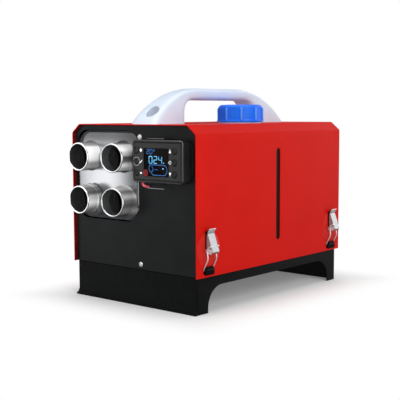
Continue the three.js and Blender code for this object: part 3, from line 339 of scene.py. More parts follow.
def smoked_acrylic():
    """Smoked acrylic over the display: black low on the left, and warm grey past a diagonal edge as a painted
    reflection. The edge lies where the share up and 1.15 times the share across add up to about one."""
    lean, reflection_start, reflection_end = 1.15, 0.98, 1.04
    material, tree, shader = begin("smoked_acrylic", Roughness=0.1, Specular_IOR_Level=0.02)
    low, high = span("controller_screen") * mm
    place = part_of_place(tree)
    across, up = (
        add(tree, "MapRange", Value=place[axis], From_Min=low[i], From_Max=high[i]).outputs["Result"]
        for axis, i in (("X", 0), ("Z", 2)))
    both = computed(tree, "MULTIPLY_ADD", across, lean, up)
    # painted reflection: warm grey past the diagonal
    join(tree, steps_between(tree, both, reflection_start, reflection_end, "#010102", "#0f0c0a"), shader, "Base Color")
    rough_between(tree, shader, 16, 0.08, 0.14)
    return material


def solder_mask():
    """Green solder mask on a glass-fibre board: semi-gloss with the weave just showing."""
    material, tree, shader = begin("green_solder_mask", Roughness=0.35, IOR=1.5)
    weave = add(tree, "TexWave", Vector=place_of(tree), Scale=per_metre(2.2)).outputs["Fac"]
    join(tree, steps_between(tree, weave, 0.2, 0.8, "#174a2b", "#1e5a35"), shader, "Base Color")
    return material


def nitrile():
    """Black nitrile rubber: matt with a greyish bloom."""
    material, tree, shader = begin("black_nitrile", Roughness=0.8, IOR=1.52)
    mottled(tree, shader, 8, "#141414", "#1c1c1d")
    return material


def pink_pvc():
    """Soft PVC wire sheath: pink-red, satin, slightly uneven where it bends."""
    material, tree, shader = begin("pink_pvc", Roughness=0.45, IOR=1.53)
    mottled(tree, shader, 5, "#c9495a", "#de6474")
    return material


def lit(name, dark, light, strength):
    """Liquid crystal or lamp that gives its own light, or ink with a painted glow, drifting a little in
    strength.
    """
    material, tree, shader = begin(name, Roughness=0.4, Emission_Strength=strength)
    glow = drift_between(tree, 3, dark, light, detail=2.0)
    join(tree, glow, shader, "Base Color")
    join(tree, glow, shader, "Emission Color")
    return material


def lifted(name, dark, light, rough, gloss=0.25):
    """Satin coat of one colour on a small piece that stands off its neighbour by tone alone."""
    material, tree, shader = begin(name, Roughness=rough, Specular_IOR_Level=gloss)
    mottled(tree, shader, 10, dark, light)
    return material


finishes = {
    "red_steel": red_powder_coat(),
    "black_steel": black_powder_coat(),
    "galvanised_steel": galvanised(),
    "stainless_steel": stainless(),
    "zinc_steel": bright_zinc("zinc_plate", "#b2b6b8", "#bcc0c2"),
    "cast_aluminium": cast_aluminium(),
    "white_polyethylene": polyethylene(),
    "blue_polypropylene": blue_polypropylene(),
    "black_plastic": grained_abs(),
    "gloss_black_plastic": gloss_abs(),
    "smoked_acrylic": smoked_acrylic(),
    "circuit_board": solder_mask(),
    "black_rubber": nitrile(),
    "pink_wire_sheath": pink_pvc(),
}

# Metals of the outlet, the latches' wires and the screws: faced, as cast, and zinc polished after plating; the
# pale zinc also gives the levers' lips a painted highlight
rim_metal = turned_aluminium()
bore_metal = casting_skin()
pale_zinc_and_highlight = bright_zinc("polished_zinc_and_lip_highlight", "#e6e6e8", "#f4f4f6")

# Liquid crystal over a lit film: the main figures shine sky blue, the small ones and the outline deep blue
blue_crystal = lit("blue_liquid_crystal", "#3f95cc", "#6cc0ea", 0.7)
dim_blue = lit("blue_liquid_crystal_dim", "#123a6c", "#1f5c9c", 0.5)

# Red lens over a small lamp: a dark disc with a ring and a loop that glow a little
red_lamp = lit("red_indicator", "#8c0204", "#a00306", 0.18)
dark_red = lit("red_indicator_shade", "#300102", "#3c0203", 0.05)

# Screen-printed ink: even white, and a grey that stands back from it; both have a faint painted glow
white_ink_painted_glow = lit("white_print", "#d8d8d8", "#ececec", 0.2)
grey_ink_painted_glow = lit("grey_print", "#7c7d7f", "#8e8f92", 0.05)

# Powder coats: the pads take a lighter red than the hood, as painted light; the hood's cut edge and inside
# take a dark red, as painted shade; the base takes a flatter black than the panels, and the hooks' faces are
# nearly without sheen
pad_painted_light = lifted("red_pad_painted_light", "#c8190f", "#ce1e13", 0.34)
painted_inside_shade = lifted("red_painted_inside_shade", "#5a0a08", "#640c0a", 0.6, 0.05)
tray_black = lifted("tray_black_powder", "#0c0d0e", "#101112", 0.42, 0.06)
mouth_black = lifted("hook_black", "#050506", "#08080a", 0.5, 0.05)

# Moulded plastics: charcoal keys, a cool grey waxy plug, and a paler blue on the cap's ribs as a painted
# highlight
key_black = lifted("moulded_key", "#1c1d1e", "#232425", 0.34)
plug_grey = lifted("grey_plug", "#98a2b4", "#a6b0c2", 0.4)
rib_painted_highlight = lifted("blue_rib_painted_highlight", "#4490ff", "#56a0ff", 0.3, 0.5)

# Dull grey on the gasket as painted shade of the gap round the plate, and painted shade deep in the bores
gasket_gap_shade = lifted("gasket_painted_gap_shade", "#33373b", "#3b3f44", 0.5)
painted_bore_shade = lifted("bore_painted_shade", "#202021", "#262627", 0.6)

# Painted highlights on edges: the case's rounded rim takes a paler, glossier black, and the holder's hems a mid
# grey
edge_painted_highlight = lifted("case_edge_painted_highlight", "#242424", "#2c2c2c", 0.22, 1.0)
hem_painted_highlight = lifted("hem_painted_highlight", "#6c6c6e", "#7c7c7e", 0.4)

slot_of = {part["node"]: part["material_slot"] for part in frame["record"]["subparts"]}
for node_name, part in frame["nodes"].items():
    part.data.materials.clear()
    part.data.materials.append(finishes[slot_of[node_name]])


# Shapes in the plane
def arc(centre, radius, start, end, steps):
    """Points at equal angles on a circle, both ends included, angles in degrees."""
    turn = np.radians(np.linspace(start, end, steps + 1))
    return np.column_stack([centre[0] + radius * np.cos(turn), centre[1] + radius * np.sin(turn)])


def rounded_rect(x0, x1, y0, y1, radius, steps=10):
    """Four quarter arcs in order round a rectangle."""
    corners = [(x1 - radius, y0 + radius), (x1 - radius, y1 - radius), (x0 + radius, y1 - radius),
               (x0 + radius, y0 + radius)]
    return np.vstack([arc(at, radius, 90 * i - 90, 90 * i, steps) for i, at in enumerate(corners)])


def circle(x, y, radius, sides=96):
    """Regular polygon of many sides."""
    return arc((x, y), radius, 0, 360, sides)[:-1]


def filleted(points, radius, steps=6, closed=False):
    """Line whose corners become arcs tangent to both edges, in the plane or in space.
    A corner of half angle h takes the arc's centre radius / sin h along its bisector."""
    points = np.asarray(points, float)
    count = len(points)
    radii = np.broadcast_to(radius, count)
    rows = []
    for i in range(count):
        if radii[i] == 0 or (not closed and i in (0, count - 1)):
            rows.append(points[i:i + 1])
            continue
        back, ahead = points[i - 1] - points[i], points[(i + 1) % count] - points[i]
        back, ahead = back / np.linalg.norm(back), ahead / np.linalg.norm(ahead)
        half = np.arccos(np.clip(back @ ahead, -1, 1)) / 2
        middle = (back + ahead) / np.linalg.norm(back + ahead) * radii[i] / np.sin(half)
        first = back * radii[i] / np.tan(half) - middle
        last = ahead * radii[i] / np.tan(half) - middle
        turn = np.pi - 2 * half
        share = np.linspace(0, 1, steps + 1)[:, None]
        swing = (np.sin((1 - share) * turn) * first + np.sin(share * turn) * last) / np.sin(turn)
        rows.append(points[i] + middle + swing)
    return np.vstack(rows)


def beside(points, distance):
    """Open line moved to its left by a distance, kept at mitres where it bends."""
    way = np.diff(points, axis=0)
    way /= np.linalg.norm(way, axis=1)[:, None]
    left = np.column_stack([-way[:, 1], way[:, 0]])
    first, last = np.vstack([left[:1], left]), np.vstack([left, left[-1:]])
    return points + distance * (first + last) / (1 + (first * last).sum(axis=1))[:, None]


# Shapes in space
def quads(rows, columns, round_rows, round_columns):
    """Faces between neighbours on a grid of points stored row by row."""
    r = np.arange(rows if round_rows else rows - 1)[:, None]
    c = np.arange(columns if round_columns else columns - 1)[None, :]
    r2, c2 = (r + 1) % rows, (c + 1) % columns
    corners = [r * columns + c, r * columns + c2, r2 * columns + c2, r2 * columns + c]
    return np.stack(corners, -1).reshape(-1, 4)


def shell(name, points, faces, smooth=crease):
    """Mesh from points in millimetres: doubles merged, faces outward, edges sharp past an angle."""
    mesh = bpy.data.meshes.new(name)
    mesh.from_pydata((np.asarray(points) * mm).tolist(), [], [list(face) for face in faces])
    tidied(mesh, smooth)
    piece = bpy.data.objects.new(name, mesh)
    scene.collection.objects.link(piece)
    return piece


def tidied(mesh, smooth):
    """Merges doubles, turns the faces outward and marks the sharp edges. Distances are in metres."""
    work = bmesh.new()
    work.from_mesh(mesh)
    bmesh.ops.remove_doubles(work, verts=work.verts, dist=1e-7)
    bmesh.ops.dissolve_degenerate(work, dist=1e-8, edges=work.edges)
    bmesh.ops.recalc_face_normals(work, faces=work.faces)
    work.to_mesh(mesh)
    work.free()
    mesh.shade_smooth()
    mesh.set_sharp_from_angle(angle=np.radians(smooth))


def turned(name, profile, centre, axis, sides=96, closed=False):
    """Surface of revolution: a radius and a place along the axis, carried round the axis by an angle."""
    radius, along = np.asarray(profile, float).T
    axis = np.asarray(axis, float) / np.linalg.norm(axis)
    first = np.cross(axis, [0.0, 1.0, 0.0] if abs(axis[1]) < 0.9 else [1.0, 0.0, 0.0])
    first /= np.linalg.norm(first)
    angle = np.linspace(0, 2 * np.pi, sides, endpoint=False)[:, None]
    around = np.cos(angle) * first + np.sin(angle) * np.cross(axis, first)
    points = np.asarray(centre, float) + along[:, None, None] * axis + radius[:, None, None] * around
    return shell(name, points.reshape(-1, 3), quads(len(radius), sides, closed, True))


def lofted(name, rings, smooth=crease):
    """Skin over rings of equal count, closed by a flat face at both ends."""
    rings = np.asarray(rings, float)
    rows, count = rings.shape[:2]
    ends = [list(range(count)), list(range((rows - 1) * count, rows * count))]
    return shell(name, rings.reshape(-1, 3), [*quads(rows, count, False, True).tolist(), *ends], smooth)


def solid(name, outline, low, high, push="Y"):
    """Flat outline pushed along one axis: two copies of it with a wall between them."""
    across, up, along = {"X": (1, 2, 0), "Y": (0, 2, 1), "Z": (0, 1, 2)}[push]
    count = len(outline)
    points = np.zeros((2 * count, 3))
    points[:, [across, up]] = np.tile(outline, (2, 1))
    points[:count, along], points[count:, along] = low, high
    ends = [list(range(count)), list(range(count, 2 * count))]
    return shell(name, points, [*quads(2, count, False, True).tolist(), *ends])


def block(name, x, y, z):
    """Box from its lowest and highest place on each axis."""
    outline = np.array([[x[0], y[0]], [x[1], y[0]], [x[1], y[1]], [x[0], y[1]]])
    return solid(name, outline, *z, push="Z")


def carried(name, path, section, closed=False, smooth=crease):
    """Section carried along a path in space, its frame turned by the least angle from point to point."""
    path = np.asarray(path, float)
    way = np.roll(path, -1, 0) - np.roll(path, 1, 0) if closed else np.gradient(path, axis=0)
    way /= np.linalg.norm(way, axis=1)[:, None]
    side = np.cross(way[0], [0.0, 0.0, 1.0] if abs(way[0][2]) < 0.9 else [1.0, 0.0, 0.0])
    sides = []
    for step in way:
        side = side - step * (side @ step)
        side = side / np.linalg.norm(side)
        sides.append(side)
    sides = np.array(sides)
    over = np.cross(way, sides)
    rings = path[:, None] + section[None, :, :1] * sides[:, None] + section[None, :, 1:] * over[:, None]
    count = len(section)
    faces = quads(len(path), count, closed, True).tolist()
    if not closed:
        faces += [list(range(count)), list(range((len(path) - 1) * count, len(path) * count))]
    return shell(name, rings.reshape(-1, 3), faces, smooth)


def changed(piece, kind, settings, smooth=crease):
    """Applies one modifier to a piece's mesh."""
    change = piece.modifiers.new(kind.lower(), kind)
    for key, value in settings.items():
        setattr(change, key, value)
    result = bpy.data.meshes.new_from_object(piece.evaluated_get(bpy.context.evaluated_depsgraph_get()))
    piece.modifiers.clear()
    piece.data = result
    tidied(result, smooth)


def cut(piece, *tools):
    """Takes each tool out of the piece, then deletes the tool and joins faces that lie in one plane."""
    for tool in tools:
        changed(piece, "BOOLEAN", {"object": tool, "operation": "DIFFERENCE", "solver": "EXACT"})
        bpy.data.objects.remove(tool)
    flattened(piece.data, angle=0.2)
    return piece


def flattened(mesh, angle):
    """Joins neighbouring faces that lie in one plane, to an angle in degrees."""
    work = bmesh.new()
    work.from_mesh(mesh)
    bmesh.ops.remove_doubles(work, verts=work.verts, dist=1e-6)
    bmesh.ops.dissolve_limit(work, angle_limit=np.radians(angle), verts=work.verts, edges=work.edges)
    work.to_mesh(mesh)
    work.free()
    tidied(mesh, crease)


def united(piece, *others):
    """Joins touching solids into one skin."""
    for other in others:
        changed(piece, "BOOLEAN", {"object": other, "operation": "UNION", "solver": "EXACT"})
        bpy.data.objects.remove(other)
    return piece


def eased(piece, width, segments=3):
    """Rounds the sharp edges by a width in millimetres."""
    edge = piece.modifiers.new("eased_edges", "BEVEL")
    edge.width, edge.segments = width * mm, segments
    edge.limit_method, edge.angle_limit = "ANGLE", np.radians(crease)
    edge.use_clamp_overlap = False
    edge.harden_normals = True
    return piece


def copied(name, node):
    """A node's own shape with its flat faces whole."""
    mesh = frame["nodes"][node].data.copy()
    mesh.name = name
    flattened(mesh, angle=0.5)
    piece = bpy.data.objects.new(name, mesh)
    scene.collection.objects.link(piece)
    return piece


body_of = {node: body for body, nodes in frame["record"]["behaviour"]["bodies"].items() for node in nodes}


def dress(piece, node, finish=None, stands_for=True):
    """Gives a piece the finish, slot and body of a CAD node, and shows it in that node's place."""
    slot = slot_of[node]
    piece.data.materials.clear()
    piece.data.materials.append(finish or finishes[slot])
    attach(piece, body_of[node])
    if stands_for:
        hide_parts(node)
    return piece


def paint(piece, finish, chosen):
    """Second finish on the faces that a test on their centres, in millimetres, chooses."""
    mesh = piece.data
    mesh.materials.append(finish)
    centres = np.empty(3 * len(mesh.polygons))
    mesh.polygons.foreach_get("center", centres)
    picked = chosen(centres.reshape(-1, 3) / mm).astype(np.int32) * (len(mesh.materials) - 1)
    held = np.empty(len(picked), np.int32)
    mesh.polygons.foreach_get("material_index", held)
    mesh.polygons.foreach_set("material_index", np.where(picked > 0, picked, held).astype(np.int32))
    mesh.update()


# Places and sizes that several pieces share, in millimetres: the case and its fold lines, the steel sheet,
# the handle's and the lead's places, the radius of a screw hole, and how far a tool reaches past its cut
case_low, case_high = span("red_cover")
case_middle = (case_low[1] + case_high[1]) / 2
front_face = span("front_panel")[0][1]
rear_face = span("rear_panel")[1][1]
fold_across, fold_down = 16, 13
sheet = 1.5
handle_x = 2
screw_hole = 2.3
through = 5
latch_y = {"front": -143, "rear": 169}
lead_low, lead_high = span("controller_lead")
lead_x, lead_hole_z = 30.5, lead_low[2] + 4
sides = {"right": 1, "left": -1}
ends = {"front": -1, "rear": 1}
latch_corners = [(end, side) for side in sides for end in ends]


def middle_of(node):
    """Middle of a node's box."""
    low, high = span(node)
    return (low + high) / 2


def case_line(inward, low):
    """The hood's folded line from side to side, moved in by a distance."""
    left, right, top = case_low[0], case_high[0], case_high[2]
    line = [(left, low), (left, top - fold_down), (left + fold_across, top), (right - fold_across, top),
            (right, top - fold_down), (right, low)]
    return beside(np.array(line, float), -inward)


# Hood and its latch pads
def hood_openings():
    """Tools for the level slot, the holes round cap and handle, and the windows behind the latches."""
    slot_half, slot_margin, cap_hole, handle_half, handle_run = 4.8, 8, 39.8, 28, 166
    window_half, window_low, window_high, reach = 10.75, 56.5, 66.3, 6
    low, high = span("level_window")
    middle = (low[1] + high[1]) / 2
    slot = rounded_rect(middle - slot_half, middle + slot_half, low[2] + slot_margin, high[2] - slot_margin,
                        slot_half)
    cap = middle_of("fuel_cap")
    around_handle = rounded_rect(handle_x - handle_half, handle_x + handle_half, case_middle - handle_run,
                                 case_middle + handle_run, handle_half / 2)
    top = case_high[2] - reach, case_high[2] + reach
    tools = [solid("slot", slot, case_high[0] - reach, case_high[0] + reach, "X"),
             solid("cap_hole", circle(cap[0], cap[1], cap_hole), *top, "Z"),
             solid("handle_hole", around_handle, *top, "Z")]
    for end, side in latch_corners:
        face = sides[side] * case_high[0]
        along = latch_y[end] - window_half, latch_y[end] + window_half
        tools.append(block("window", (face - reach, face + reach), along, (window_low, window_high)))
    return tools


def shaded_inside_left_edge(c):
    """Faces of the hood's left margin that lie deeper than a hair below its outer line: they take painted
    shade.
    """
    hair, margin = 0.05, 4
    across, down = c[:, 0] - case_low[0], case_high[2] - c[:, 2]
    slope = (across * fold_down - (fold_down - down) * fold_across) / np.hypot(fold_across, fold_down)
    depth = np.minimum(np.minimum(across, slope), down)
    return (depth > hair) & (across < fold_across + margin)


def red_hood():
    """Folded sheet: the case line with rounded folds, and the same line moved in by the sheet, along Y."""
    thick, bend = 1.2, 5
    outer = filleted(case_line(0, case_low[2]), bend, 8)
    piece = solid("red_hood", np.vstack([outer, beside(outer, -thick)[::-1]]), case_low[1], case_high[1])
    dress(eased(cut(piece, *hood_openings()), 0.35, 2), "red_cover")
    # painted shade: the inside of the hood's left margin is coloured dark red
    paint(piece, painted_inside_shade, shaded_inside_left_edge)


def latch_pads():
    """Shallow round pad pressed out of the hood behind each latch on the right: a disc with a soft edge."""
    radius, rise, root, middle = 24.6, 0.4, 0.3, 90.5
    profile = [(0, -root), (radius, -root), (radius, 0.1), (radius - 0.5, 0.35), (0, rise)]
    for end in ends:
        pad = turned(f"latch_pad_{end}", profile, (case_high[0], latch_y[end], middle), (1, 0, 0))
        # painted light: each pad is coloured a little lighter than the hood
        dress(pad, "red_cover", pad_painted_light, stands_for=False)


# Black base and end panels
def base_tray():
    """Rounded box, hollow from below, with an arch between its feet on both sides and a flared front lip."""
    corner, inner_corner, lip_rise, lip_flare = 2.5, 1.2, 3, 4.5
    arch_end, arch_top, arch_corner = 23.5, 37, 30
    tab_left, tab_right, tab_gap, tab_root, stub_hole = 1.5, 27.5, 1.8, 1, 11.5
    low, high = span("base_tray")
    front, back, top = front_face, rear_face, case_low[2]
    tray = solid("base_tray_shell", rounded_rect(low[0], high[0], front, back, corner, 6), 0, top, "Z")
    inside = rounded_rect(low[0] + sheet, high[0] - sheet, front + sheet, back - sheet, inner_corner, 6)
    arch = rounded_rect(front + arch_end, back - arch_end, -arch_top, arch_top, arch_corner, 16)
    cut(tray, solid("hollow", inside, -through, top - sheet, "Z"),
        solid("arch", arch, low[0] - through, high[0] + through, "X"))
    curve = arc((front - lip_flare, lip_rise + lip_flare), lip_flare, 0, -90, 10)
    wall = front + sheet / 2
    lip = np.vstack([curve, [(front - lip_flare, 0), (wall, 0), (wall, lip_rise + lip_flare)]])
    united(tray, solid("lip", lip, low[0], high[0], "X"))
    for edge in (front + tab_gap, back - tab_gap - sheet):
        united(tray, block("tab", (tab_left, tab_right), (edge, edge + sheet), (top - tab_root, high[2])))
    for node in ("exhaust_stub", "intake_stub"):
        x, y, _ = middle_of(node)
        cut(tray, solid("stub_hole", circle(x, y, stub_hole, 48), top - through, top + through, "Z"))
    screw = circle(*screw_at("lower"), screw_hole, 24)
    cut(tray, solid("screw_hole", screw, front - through, back + through))
    dress(eased(tray, 0.45, 2), "base_tray", tray_black)


def screw_at(level):
    """Place across and up of a panel screw."""
    x, _, z = middle_of(f"front_screw_{level}")
    return x, z


def end_panel(name, node, face, back, *holes, split=False):
    """Pan of sheet: the case line closed along the bottom, with a pocket behind the face that leaves edges.
    Split cuts the faces into triangles before the edges are eased, which keeps the shading of a face with
    several holes even."""
    inside_hood, seam, hole_reach = 1.5, 0.3, 4
    bends, pocket_bends = [1, 3, 3, 3, 3, 1], [0, 2, 2, 2, 2, 0]
    low, into = case_low[2] + seam, np.sign(back - face)
    outer = filleted(case_line(inside_hood, low), bends, 5, closed=True)
    pocket = filleted(case_line(inside_hood + sheet, low - through), pocket_bends, 5, closed=True)
    piece = solid(name, outer, *sorted((face, back)))
    tools = [solid("pocket", pocket, *sorted((face + into * sheet, back + into * through)))]
    for outline in (*holes, *(circle(*screw_at(level), screw_hole, 24) for level in ("lower", "upper"))):
        tools.append(solid("hole", outline, face - hole_reach, face + hole_reach))
    cut(piece, *tools)
    if split:
        changed(piece, "TRIANGULATE", {})
    dress(eased(piece, 0.6, 3), node)


def front_panel():
    """Panel with a round-cornered opening for the outlet and a small hole for the lead."""
    left, right, low, high, corner, lead_hole = -121.5, 11.5, 121, 254, 25, 2.2
    end_panel("front_panel_pan", "front_panel", front_face, span("front_panel")[1][1],
              rounded_rect(left, right, low, high, corner, 12), circle(lead_x, lead_hole_z, lead_hole, 24))


def rear_panel():
    """Panel with a round air inlet and a slot for the power socket."""
    inlet_x, inlet_z, inlet_radius = -54, 164, 40
    left, right, low, high, corner = 56.5, 83.5, 72.5, 91.5, 0.5
    end_panel("rear_panel_pan", "rear_panel", rear_face, span("rear_panel")[0][1],
              circle(inlet_x, inlet_z, inlet_radius), rounded_rect(left, right, low, high, corner, 2),
              split=True)


def screws():
    """Pan head turned from its dome to the tip of its shank, with a cross cut into the head."""
    head, head_edge, dome, dome_base, dome_rise = 3.7, 0.4, 3.6, 0.6, 1.8
    shank, length, proud = 1.9, 11, 0.3
    cross, cross_half, cross_floor, cross_top = 1.9, 0.4, 1.1, 4
    crown = [(dome * np.sin(a), dome_base + dome_rise * np.cos(a)) for a in np.linspace(0, 1.5, 8)]
    profile = [*crown, (head, head_edge), (head, 0), (shank, 0), (shank, -length), (0, -length)]
    for end, way in ends.items():
        face = {-1: front_face, 1: rear_face}[way] + proud * way
        depth = tuple(sorted((face + cross_floor * way, face + cross_top * way)))
        for level in ("lower", "upper"):
            x, z = screw_at(level)
            piece = turned(f"{end}_{level}_screw", profile, (x, face, z), (0, way, 0), 48)
            cut(piece, block("cross", (x - cross, x + cross), depth, (z - cross_half, z + cross_half)),
                block("cross", (x - cross_half, x + cross_half), depth, (z - cross, z + cross)))
            dress(eased(piece, 0.12, 2), f"{end}_screw_{level}", pale_zinc_and_highlight)


# Outlet casting
outlet_x, outlet_z = {"left": -86.7, "right": -17.7}, {"lower": 151, "upper": 215}
plate_left, plate_right, plate_low, plate_high = -118, 9.5, 129, 252
rim_y, plate_y = span("outlet_manifold")[0][1], front_face - 0.5
tube_radius, bore_radius, bore_fit = 21, 18.7, 1
plate_thick, bore_reach = 8, 12

# Painted reflection bands along each tube, set to follow the photo's: share of the height from foot to crown,
# grey level
bands = {
    "lower_left": [(0, 90), (0.15, 130), (0.42, 235), (0.6, 190), (0.76, 85), (0.9, 120), (1, 220)],
    "upper_left": [(0, 110), (0.14, 170), (0.26, 160), (0.42, 245), (0.5, 255), (0.82, 255), (0.92, 160),
                   (1, 130)],
    "lower_right": [(0, 80), (0.2, 140), (0.4, 85), (0.55, 110), (0.7, 190), (0.86, 120), (1, 230)],
    "upper_right": [(0, 70), (0.12, 190), (0.25, 225), (0.42, 90), (0.52, 70), (0.64, 190), (0.8, 255),
                    (0.92, 235), (1, 80)],
}


def outlet_plate():
    """Cast plate with a rolled edge and a pillowed face. Its outline shrinks in rings: first over the edge
    by a quarter circle, then over the face, which falls back by the square of the share across and the
    fourth power of the share up. The upper left corner is drawn in."""
    x0, x1, z0, z1 = plate_left, plate_right, plate_low, plate_high
    line = [(x0, z0), (x1, z0), (x1, z1), (x0 + 10, z1), (x0 + 9, z1 - 20), (x0, z1 - 46)]
    line = filleted(line, [20, 18, 18, 15, 20, 20], 10, closed=True)
    middle, half = np.array([(x0 + x1) / 2, (z0 + z1) / 2]), np.array([x1 - x0, z1 - z0]) / 2
    roll, crown, fall_across, fall_up = 2.2, 2.4, 3, 4.5
    rolled = [(roll * (1 - np.cos(a)), roll * (1 - np.sin(a))) for a in np.linspace(0, np.pi / 2, 7)]
    rows = [np.column_stack([line[:, 0], np.full(len(line), plate_y + plate_thick), line[:, 1]])]
    for inward, back in [*rolled, *((inward, 0) for inward in np.linspace(4, 60, 24))]:
        near = middle + (line - middle) * (1 - inward / half.min())
        across, up = ((near - middle) / half).T
        face = plate_y - crown + fall_across * across ** 2 + fall_up * up ** 4
        rows.append(np.column_stack([near[:, 0], face + back, near[:, 1]]))
    return lofted("outlet_plate", rows)


def outlet_tube(x, z, lean, flare, bead):
    """Turned tube that leans to the right by an angle in degrees: a plain length, a bead of its own height,
    and a flare that opens as a quarter ellipse. The rim and the bore are rings of their own."""
    length, rim, edge = plate_y - rim_y - 2.1, 1.3, 0.6
    flare_depth, base = 9.5, 3
    bead_back, bead_half = 20.5, 1.6
    axis, centre = (-np.sin(np.radians(lean)), np.cos(np.radians(lean)), 0), (x, plate_y, z)
    hump = [(tube_radius + bead * np.sin(a), -length + bead_back - bead_half * np.cos(a))
            for a in np.linspace(0, np.pi, 9)]
    open_out = [(tube_radius + flare * (1 - np.cos(a)), -flare_depth + flare_depth * np.sin(a))
                for a in np.linspace(0, np.pi / 2, 12)]
    foot, inner = tube_radius + flare + edge, bore_radius + edge
    wall = [(tube_radius, -length + rim), *(hump if bead else []), *open_out, (foot, edge), (foot, base),
            (inner, base), (inner, -length + rim)]
    rim_line = [(bore_radius, rim), (bore_radius, 0.5), (bore_radius + 0.5, 0), (tube_radius - edge, 0),
                (tube_radius, edge), (tube_radius, rim)]
    steps = [(0, rim), (0, 15.5), (0.5, 16), (0.5, 18.4), (-1, 18.4), (-1, 25.4), (-1.8, 25.8), (-1.8, 26.8),
             (-1, 27.2), (-1, 36), (edge, 36), (edge, rim)]
    lining = [(bore_radius + out, y - length) for out, y in steps]
    rim_line = [(r, y - length) for r, y in rim_line]
    return [turned(name, ring, centre, axis, 128, closed=True)
            for name, ring in (("tube", wall), ("outlet_rim", rim_line), ("outlet_lining", lining))]


def outlet_seat():
    """Flat gasket behind the plate, with a hole for each tube; its dark grey is the painted shade of the gap
    round the plate.
    """
    margin, corner, front, back = 2.5, 24, 5.5, 7
    line = rounded_rect(plate_left - margin, plate_right + 1, plate_low - 7, plate_high + 1, corner, 12)
    seat = solid("outlet_seat", line, plate_y + front, plate_y + back)
    bores = [solid("bore", circle(x, z, bore_radius + bore_fit, 64), plate_y, plate_y + bore_reach)
             for x in outlet_x.values() for z in outlet_z.values()]
    # painted shade: the gasket's dark grey stands for the shade in the gap
    dress(cut(seat, *bores), "outlet_manifold", gasket_gap_shade, stands_for=False)


def outlet_casting():
    """Plate and four tubes, the flares trimmed to the plate's outline; rims bright, linings dull, with painted
    shade deep in the bores, all through the left ones, and over the funnel behind.
    """
    reach, flare_drop, corner, bore_shade_from = 20, 5.5, 18, 16
    casting = outlet_plate()
    # Lean in degrees, how far the flare opens, how high the bead stands
    looks = {"lower_left": (2, 4, 1.9), "upper_left": (2, 2.6, 0), "lower_right": (6, 6.2, 0),
             "upper_right": (5, 3.4, 0)}
    for place, (lean, flare, bead) in looks.items():
        level, side = place.split("_")
        x, z = outlet_x[side], outlet_z[level]
        tube, rim, lining = outlet_tube(x, z, lean, flare, bead)
        line = rounded_rect(plate_left, plate_right, plate_low - flare_drop, plate_high, corner, 12)
        trim = solid("trim", line, rim_y - reach, plate_y + reach)
        bore = circle(x, z, bore_radius + bore_fit, 128)
        bore = solid("bore", bore, plate_y - plate_thick, plate_y + bore_reach)
        for piece, tool, way in ((tube, trim, "INTERSECT"), (casting, bore, "DIFFERENCE")):
            changed(piece, "BOOLEAN", {"object": tool, "operation": way, "solver": "EXACT"})
            bpy.data.objects.remove(tool)
        tube.name, rim.name, lining.name = (f"outlet_{part}_{place}" for part in ("tube", "rim", "lining"))
        # painted reflections and painted shade in the tube's colour
        metal = reflection_painted_tube(place, z - tube_radius, z + tube_radius, bands[place])
        dress(tube, "outlet_manifold", metal, stands_for=False)
        dress(rim, "outlet_manifold", rim_metal, stands_for=False)
        dress(lining, "outlet_manifold", bore_metal if side == "right" else painted_bore_shade, stands_for=False)
        # painted shade: the lining darkens past a depth into the bore
        paint(lining, painted_bore_shade, lambda c: c[:, 1] > rim_y + bore_shade_from)
    dress(casting, "outlet_manifold")
    outlet_seat()
    low, high = span("outlet_manifold")
    funnel = copied("outlet_funnel", "outlet_manifold")
    cut(funnel, block("front_part", (low[0] - through, high[0] + through),
                      (low[1] - through, plate_y + plate_thick + 0.2), (low[2] - through, high[2] + through)))
    # painted shade: the funnel behind the plate is coloured dark
    dress(funnel, "outlet_manifold", painted_bore_shade)


# Tank, handle and cap
def bezier(corners, t):
    """Cubic curve: its corners weighted by the terms of ((1 - t) + t) cubed."""
    t = np.asarray(t, float)[..., None]
    a, b, c, d = np.asarray(corners, float)
    return (1 - t) ** 3 * a + 3 * t * (1 - t) ** 2 * b + 3 * t ** 2 * (1 - t) * c + t ** 3 * d


# Distance from the case's middle, height
handle_outer = [(168, 251.3), (157, 276), (110, 315), (52, 316.2)]
handle_inner = [(89, 251.3), (89, 283), (84, 298), (60, 298)]
plug_radius, plug_depth = 10.9, 3


def plug_place():
    """Middle and outward direction of the dimple in the handle's front slope."""
    along, aside, proud = 0.36, 5, 0.4
    spot = bezier(handle_outer, along)
    return (handle_x + aside, case_middle - spot[0], spot[1] + proud), (-0.12, -0.73, 0.67)


def carry_handle():
    """Blow-moulded bow: a soft-cornered section between an outer and an inner curve, mirrored end to end.
    The section is a superellipse, boxy at the foot, and its width falls by a smooth step to the grip."""
    foot_half, grip_half, foot_power, grip_power = 27, 17, 0.3, 0.6
    t = np.linspace(0, 1, 40)
    along = np.concatenate([t, t[::-1]])
    mirror = np.repeat([-1, 1], len(t))[:, None]
    out, into = bezier(handle_outer, along), bezier(handle_inner, along)
    centre, reach = (out + into) / 2, (out - into) / 2
    half = foot_half - (foot_half - grip_half) * along * along * (3 - 2 * along)
    angle = np.linspace(0, 2 * np.pi, 88, endpoint=False)
    power = foot_power + (grip_power - foot_power) * along[:, None]
    swing, across = (np.sign(share) * np.abs(share) ** power for share in (np.cos(angle), np.sin(angle)))
    x = handle_x + half[:, None] * across
    y = case_middle + mirror * (centre[:, :1] + reach[:, :1] * swing)
    z = centre[:, 1:] + reach[:, 1:] * swing
    handle = lofted("carry_handle", np.stack([x, y, z], -1), 60)
    dimple = [(0, -plug_depth), (plug_radius, -plug_depth), (plug_radius, 8), (0, 8)]
    cut(handle, turned("dimple", dimple, *plug_place()))
    tidied(handle.data, 60)
    dress(eased(handle, 0.5, 3), "fuel_tank")


